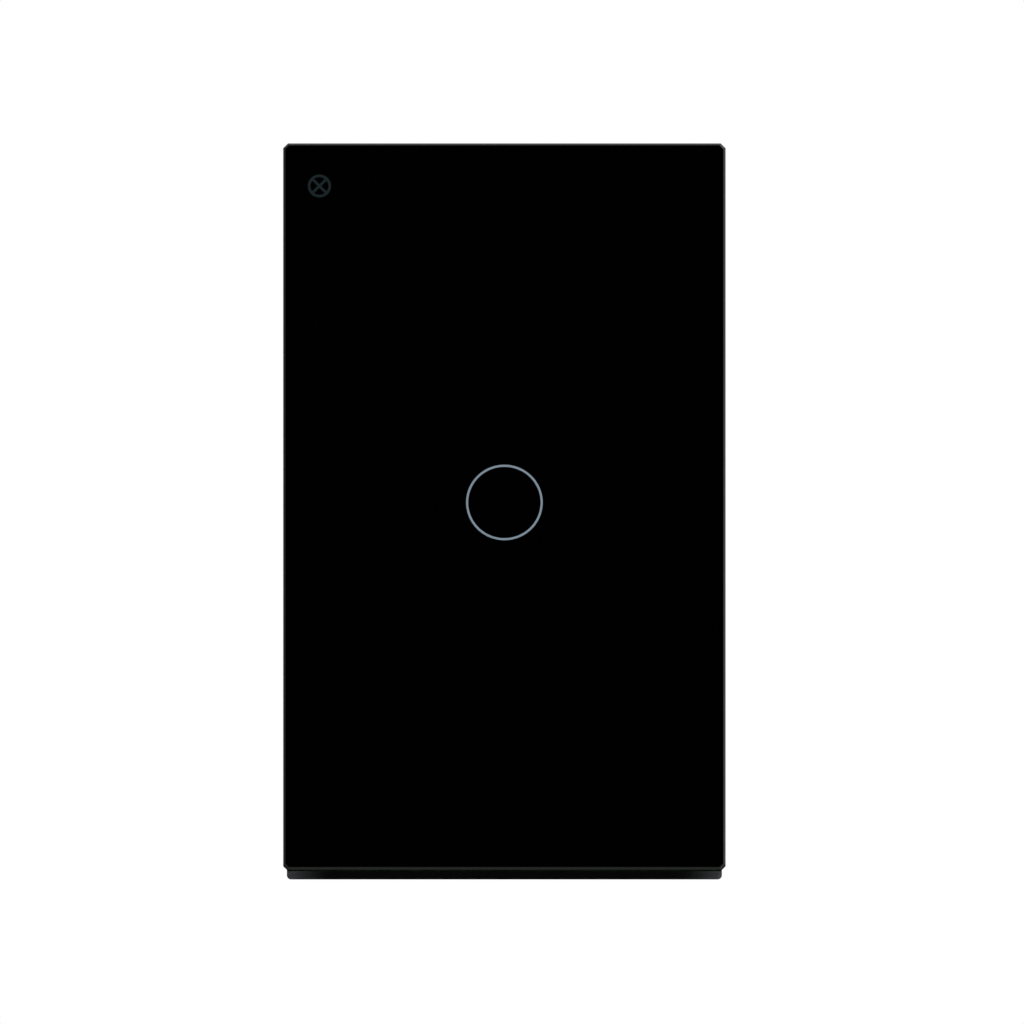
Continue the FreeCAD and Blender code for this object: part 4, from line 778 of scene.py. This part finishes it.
# Radio board. A small blue board soldered flat on the touch board by gilt pads along its edges, with a
# pressed tin can over its chips and a folded track at its lower end as the aerial.
dress("radio_board", lacquered_board("blue_lacquer", (0.012, 0.04, 0.16), 0.4))
soften("radio_board", 0.05)
radio_low, radio_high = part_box("radio_board")
can_low, can_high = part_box("radio_shield")
gilt = plated("gilt", (0.83, 0.6, 0.27), 0.3, grain_mm=0.1)
gilt_pitch = 1.35 * MM
fold_pitch = 1.7 * MM
inset = 1.6 * MM
hole_pitch = 2.05 * MM
aerial_form = bmesh.new()
gilt_y = (radio_low.y - 0.03 * MM, radio_low.y)
for i in range(10):
    z = radio_high.z - inset - i * gilt_pitch
    for side, edge in ((-1, radio_low.x), (1, radio_high.x)):
        near, far = sorted((edge, edge - side * 0.8 * MM))
        block(aerial_form, (near, gilt_y[0], z - 0.35 * MM), (far, gilt_y[1], z + 0.35 * MM))
        near, far = sorted((edge - side * 0.05 * MM, edge + side * 0.04 * MM))
        block(aerial_form, (near, radio_low.y, z - 0.3 * MM), (far, radio_high.y, z + 0.3 * MM))
folds = [(radio_low.x + inset, can_low.z - 0.5 * MM)]
for i in range(8):
    x = radio_low.x + inset + i * fold_pitch
    z = (radio_low.z + 0.7 * MM) if i % 2 == 0 else (can_low.z - 1.1 * MM)
    folds += [(x, z), (x + fold_pitch, z)]
ribbon(aerial_form, folds, 0.5 * MM, *gilt_y)
piece_from("radio_aerial_and_pads", aerial_form, gilt)
dress("radio_shield", plated("tinned_can", (0.66, 0.65, 0.62), 0.26, (6.0, 1.0, 0.4), 0.25))
soften("radio_shield", 0.05)
# Dark discs of painted shade stand for the can's air holes.
holes_form = bmesh.new()
for i in range(5):
    for j in range(4):
        peg(holes_form, can_low.x + 2.5 * MM + i * hole_pitch, can_low.z + 2.4 * MM + j * hole_pitch,
            0.35 * MM, can_low.y - 0.004 * MM, can_low.y + 0.02 * MM, sides=14)
piece_from("shield_air_holes", holes_form, matt_coat("hole_shadow", (0.01, 0.01, 0.01), 0.2, 0.002, 0.9))


# Connector. Six square pins, gilt brass, pressed through a black nylon bar on the touch board, and a
# socket for them on the power board.
header_nylon = moulded("header_nylon", (0.018, 0.018, 0.018), 0.45, 0.2, 0.008)
for name in ("pin_header", "header_socket"):
    dress(name, header_nylon)
    soften(name, 0.1)
for name in ("header_pins", "socket_contacts"):
    dress(name, gilt)
    soften(name, 0.08)


# Power board. Woven glass board, 1.6 mm, lacquered green, which drops over the plate's pegs and is held by
# the housing's shelves. Wide tracks carry the mains on its front, where every lead is soldered in a
# cone, and a white print on its rear shows where each part stands.
dress("power_board", lacquered_board("green_lacquer", (0.012, 0.11, 0.045), 0.5))
soften("power_board", 0.08)
power_low, power_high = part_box("power_board")
green_tracks = lacquered_board("tracks_under_green", (0.03, 0.19, 0.07), 0.5)
lead_reach = 0.5 * MM
lead_spread = 1.3 * MM
foil = 0.03 * MM


def lead_ends(name):
    """The (x, z) middles of the leads that a node puts through the power board, from the bottom up."""
    leads = []
    for vert in nodes[name].data.vertices:
        if vert.co.y > power_low.y - lead_reach:
            continue
        near = [lead for lead in leads if (lead[0] - vert.co).xz.length < lead_spread]
        if near:
            near[0].append(vert.co)
        else:
            leads.append([vert.co])
    middles = [tuple((min(end[i] for end in lead) + max(end[i] for end in lead)) / 2 for i in (0, 2))
               for lead in leads]
    return sorted(middles, key=lambda spot: (round(spot[1], 6), spot[0]))


tracks_form = bmesh.new()
for layer, (piece, lead, other, other_lead, width) in enumerate((
    ("terminal_bars", 0, "relay_fixed_contact", 0, 2.2),
    ("terminal_bars", 1, "relay_yoke", 0, 2.2),
    ("terminal_bars", 2, "transformer_bobbin", 3, 2.2),
    ("fuse_resistor", 0, "varistor", 0, 1.6),
    ("varistor", 0, "safety_capacitor", 0, 1.6),
    ("varistor", 1, "safety_capacitor", 1, 1.6),
    ("filter_choke", 1, "filter_capacitors", 2, 1.2),
    ("filter_choke", 0, "filter_capacitors", 0, 1.2),
    ("filter_capacitors", 3, "filter_capacitors", 1, 1.2),
    ("filter_capacitors", 1, "output_capacitor", 1, 1.2),
    ("transformer_bobbin", 7, "output_capacitor", 0, 1.2),
    ("filter_capacitors", 0, "transformer_bobbin", 6, 1.0),
)):
    start, end = Vector(lead_ends(piece)[lead]), Vector(lead_ends(other)[other_lead])
    slant = min(abs(end.x - start.x), abs(end.y - start.y))
    turn = start + Vector([math.copysign(slant, part) for part in end - start])
    run = [start, turn, end] if slant > 0.1 * MM else [start, end]
    ribbon(tracks_form, run, width * MM, power_low.y - foil - 0.002 * layer * MM, power_low.y)
for pin in header_pins:
    ribbon(tracks_form, [(pin.x, pin.z - 1.3 * MM), (pin.x, pin.z - 3.3 * MM),
                         (pin.x + 1.2 * MM, pin.z - 4.5 * MM)], 0.5 * MM, power_high.y,
           power_high.y + foil)
piece_from("power_board_tracks", tracks_form, green_tracks)

solder_form = bmesh.new()
cone_outline = ((0.0, 0.0), (0.95, 0.0), (0.6, 0.14), (0.42, 0.4), (0.36, 0.7), (0.0, 0.74))
for name in ("filter_capacitors", "output_capacitor", "safety_capacitor", "varistor", "fuse_resistor",
             "filter_choke", "transformer_bobbin", "relay_coil_pins", "relay_fixed_contact", "relay_yoke",
             "terminal_bars"):
    wide = 1.5 if name.startswith(("relay", "terminal")) else 1.0
    for x, z in lead_ends(name):
        points = [solder_form.verts.new((x + reach * wide * MM, power_low.y - rise * MM, z))
                  for reach, rise in cone_outline]
        lines = [solder_form.edges.new(pair) for pair in zip(points, points[1:])]
        bmesh.ops.spin(solder_form, geom=points + lines, cent=(x, 0.0, z), axis=(0.0, 1.0, 0.0),
                       angle=2 * math.pi, steps=14, use_merge=True)
piece_from("soldered_joints", solder_form, solder)

dress("power_board_parts", part_ceramic)
tinned_ends("power_board_parts", power_high.y, 1, solder)
print_form = bmesh.new()
line_width = 0.16 * MM
margin = Vector((0.35, 0.0, 0.35)) * MM
for layer, name in enumerate(("power_chip", "rectifier", "optocoupler", "regulator", "safety_capacitor",
                              "varistor", "fuse_resistor", "transformer_bobbin", "relay_base",
                              "terminal_body")):
    low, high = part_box(name)
    box_line(print_form, (low - margin).xz, (high + margin).xz, line_width, power_high.y,
             power_high.y + (0.045 + 0.002 * layer) * MM)
for name in ("filter_capacitors", "output_capacitor", "filter_choke"):
    for low, high in islands(name):
        x, _, z = (low + high) / 2
        circle_line(print_form, x, z, (high.x - low.x) / 2 + 0.3 * MM, line_width, power_high.y,
                    power_high.y + 0.066 * MM, sides=48)
for low, high in islands("power_board_parts"):
    for x in (low.x - 0.25 * MM, high.x + 0.25 * MM):
        ribbon(print_form, [(x, low.z + 0.3 * MM), (x, high.z - 0.3 * MM)], 0.12 * MM,
               power_high.y, power_high.y + 0.04 * MM)
piece_from("power_board_print", print_form, board_print)


# Chips on the power board. The switching chip, the bridge rectifier, the optocoupler in white epoxy and
# the regulator, all with tinned legs.
for name, colour in (("power_chip", (0.02, 0.02, 0.021)), ("rectifier", (0.022, 0.021, 0.02)),
                     ("optocoupler", (0.62, 0.61, 0.57)), ("regulator", (0.02, 0.02, 0.021))):
    low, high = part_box(name)
    dress(name, chip_epoxy(name + "_epoxy", low.x, high.x, colour))
    soften(name, 0.08)
    first_leg_dimple(name + "_dimple", low.x + 1.6 * MM, high.z - 0.7 * MM, high.y, 1, 0.3)


# Capacitors. Each can is drawn aluminium in a shrunk sleeve, rolled in near its foot. The sleeve has a
# pale stripe on the side of the negative lead and leaves the top bare, which is scored to burst safely.
def sleeved_can(name, sleeve, middle_x, radius, top):
    finish, tree, shader, places = new_finish(name)
    x, y, _ = axes(tree, places)
    grain = speckle(tree, places, 0.3)
    stripe = arithmetic(tree, "LESS_THAN", x, middle_x - radius * 0.82)
    cap = arithmetic(tree, "GREATER_THAN", y, top - 0.02 * MM)
    metal = arithmetic(tree, "MAXIMUM", cap, arithmetic(tree, "LESS_THAN", y, power_high.y - 0.01 * MM))
    film = blend(tree, grain, scaled(sleeve, 0.9), scaled(sleeve, 1.12))
    banded = blend(tree, stripe, film, (0.55, 0.56, 0.58))
    aluminium = blend(tree, grain, (0.6, 0.6, 0.61), (0.74, 0.74, 0.75))
    link(tree, blend(tree, metal, banded, aluminium), shader.inputs["Base Color"])
    link(tree, metal, shader.inputs["Metallic"])
    sheen(tree, shader, grain, 0.25, 0.38)
    relief(tree, shader, grain, 0.01)
    return finish


# The scores on each can's top are dark lines a hair proud of it, painted shade for their grooves.
score_form = bmesh.new()
for name, finish_name, sleeve in (("filter_capacitors", "dark_sleeve", (0.02, 0.022, 0.05)),
                                  ("output_capacitor", "brown_sleeve", (0.09, 0.03, 0.018))):
    cans = islands(name)
    low, high = cans[0]
    radius = (high.x - low.x) / 2
    dress(name, sleeved_can(finish_name, sleeve, (low.x + high.x) / 2, radius, high.y))
    score_reach = radius * 0.6
    for low, high in cans:
        middle = (low + high).xz / 2
        for turn in (45, 135):
            way = Vector((math.cos(math.radians(turn)), math.sin(math.radians(turn)))) * score_reach
            ribbon(score_form, [middle - way, middle + way], 0.16 * MM, high.y - 0.01 * MM,
                   high.y + (0.012 + turn * 1e-5) * MM)
piece_from("can_scores", score_form, plated("score_groove_shade", (0.3, 0.3, 0.31), 0.45))


# Mains parts. The safety capacitor is potted in a yellow box, the varistor is a disc dipped in blue
# epoxy, and the fuse is wound on a rod under green enamel with bands for its value. Their leads are
# tinned copper wire.
def tin_where(finish, mask):
    """Tinned wire where the number that mask makes of the tree and the three axes is 1."""
    tree, shader, way = reopened(finish)
    wire = mask(tree, way)
    lay_over(tree, shader, wire, (0.66, 0.65, 0.62))
    link(tree, wire, shader.inputs["Metallic"])
    return finish


def below(level):
    return lambda tree, way: arithmetic(tree, "LESS_THAN", way[1], level)


box_yellow = moulded("potted_box", (0.72, 0.47, 0.04), 0.34, 0.5, 0.0015, 0.03, 0.03)
dress("safety_capacitor", tin_where(box_yellow, below(power_high.y - 0.01 * MM)))
soften("safety_capacitor", 0.15)
dipped_blue = moulded("dipped_epoxy", (0.02, 0.09, 0.36), 0.22, 0.8, 0.02, 0.15, 0.05)
dress("varistor", tin_where(dipped_blue, below(power_high.y + 0.9 * MM)))


def banded_enamel():
    finish = moulded("banded_enamel", (0.07, 0.26, 0.13), 0.3, 0.5, 0.01, 0.12, 0.05)
    tree, shader, (x, _, _) = reopened(finish)
    for place, colour in ((-2.2, (0.12, 0.04, 0.015)), (-0.8, (0.01, 0.01, 0.01)),
                          (0.6, (0.01, 0.01, 0.01)), (2.3, (0.55, 0.36, 0.08))):
        off = arithmetic(tree, "ABSOLUTE", arithmetic(tree, "SUBTRACT", x, fuse_middle + place * MM))
        lay_over(tree, shader, arithmetic(tree, "LESS_THAN", off, band_half), colour)
    return finish


fuse_low, fuse_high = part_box("fuse_resistor")
fuse_middle = (fuse_low.x + fuse_high.x) / 2
band_half = 0.4 * MM
enamel_half = 4.22 * MM
dress("fuse_resistor", tin_where(banded_enamel(), lambda tree, way: arithmetic(
    tree, "GREATER_THAN",
    arithmetic(tree, "ABSOLUTE", arithmetic(tree, "SUBTRACT", way[0], fuse_middle)), enamel_half)))


# Choke and transformer. Ground ferrite, wound with enamelled copper. The transformer's winding is wrapped
# in yellow film tape, and its bobbin is black nylon with eight tinned pins.
for name in ("filter_choke", "transformer_core"):
    ferrite = matt_coat(name + "_ferrite", (0.05, 0.05, 0.055), 0.3, 0.02, 0.6)
    dress(name, tin_where(ferrite, below(power_high.y - 0.01 * MM)))
    soften(name, 0.12)


def wound_copper(name, colour, pitch_mm):
    finish, tree, shader, places = new_finish(name)
    grain = speckle(tree, places, 0.4)
    y = axes(tree, places)[1]
    turns = arithmetic(tree, "SINE", arithmetic(tree, "MULTIPLY", y, 2 * math.pi / (pitch_mm * MM)))
    # Painted shade: the copper darkens to about a third of its colour in the grooves between the turns.
    tone = blend(tree, between(tree, turns, -1.0, 1.0, 0.0, 1.0), scaled(colour, 0.35), colour)
    link(tree, blend(tree, grain, tone, scaled(colour, 0.8)), shader.inputs["Base Color"])
    shader.inputs["Metallic"].default_value = 0.7
    sheen(tree, shader, grain, 0.22, 0.36)
    relief(tree, shader, turns, 0.05, 0.9)
    return finish


copper = wound_copper("enamelled_copper", (0.62, 0.24, 0.1), 0.22)
dress("choke_winding", copper)
bobbin_nylon = moulded("bobbin_nylon", (0.018, 0.018, 0.018), 0.45, 0.2, 0.008)
dress("transformer_bobbin", tin_where(bobbin_nylon, below(power_high.y - 0.01 * MM)))


def film_tape():
    finish, tree, shader, places = new_finish("film_tape")
    crease = speckle(tree, pulled(tree, places, (1.0, 0.25, 1.0)), 1.2, 4.0)
    link(tree, blend(tree, crease, (0.62, 0.4, 0.02), (0.8, 0.58, 0.05)), shader.inputs["Base Color"])
    sheen(tree, shader, crease, 0.2, 0.36)
    relief(tree, shader, crease, 0.04)
    return finish


dress("transformer_winding", film_tape())
soften("transformer_winding", 0.2)


# Relay. A blue case over a coil on an iron yoke. The armature rocks on the yoke's edge and carries a
# bronze blade with a silver contact, which the coil pulls on to the fixed one. A nub on the case is cut
# off after washing, to let it breathe.
relay_blue = moulded("relay_case", (0.015, 0.09, 0.36), 0.3, 0.5, 0.0015, 0.03, 0.02)
dress("relay_cover", relay_blue)
soften("relay_cover", 0.15)
dress("relay_base", relay_blue)
case_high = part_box("relay_cover")[1]
nub_inset = 2.2 * MM
nub_form = bmesh.new()
for radius, rise_mm in ((1.2, 0.08), (0.75, 0.2)):
    peg(nub_form, case_high.x - nub_inset, case_high.z - nub_inset, radius * MM,
        case_high.y - 0.1 * MM, case_high.y + rise_mm * MM, sides=28)
piece_from("relay_nub", nub_form, relay_blue)
soft_iron = plated("nickelled_iron", (0.52, 0.52, 0.51), 0.34, (1.0, 6.0, 1.0), 0.2)
for name in ("relay_yoke", "relay_core", "relay_armature"):
    dress(name, soft_iron)
    soften(name, 0.08)
dress("relay_bobbin", header_nylon)
dress("relay_winding", copper)
tinned = plated("tinned_brass", (0.68, 0.65, 0.58), 0.32, (1.0, 1.0, 5.0), 0.2)
for name in ("relay_coil_pins", "relay_fixed_contact", "terminal_bars"):
    dress(name, tinned)
    soften(name, 0.05)
dress("relay_contact_blade", plated("rolled_bronze", (0.78, 0.5, 0.3), 0.28, (5.0, 1.0, 0.25), 0.08))
dress("relay_moving_contact", plated("silver_alloy", (0.82, 0.81, 0.78), 0.3))
soften("relay_moving_contact", 0.08)


# Terminal block. A dark nylon block with three rising clamps. Each cage is a folded steel strap with a
# threaded roof, and its screw pulls it up against a tinned bar with the wire between.
dress("terminal_body", moulded("terminal_nylon", (0.05, 0.06, 0.07), 0.5, 0.35, 0.015))
soften("terminal_body", 0.12)
for n in (1, 2, 3):
    dress(f"terminal_cage_{n}", zinc)
    soften(f"terminal_cage_{n}", 0.1)
    dress(f"terminal_screw_{n}", zinc)
    soften(f"terminal_screw_{n}", 0.08)
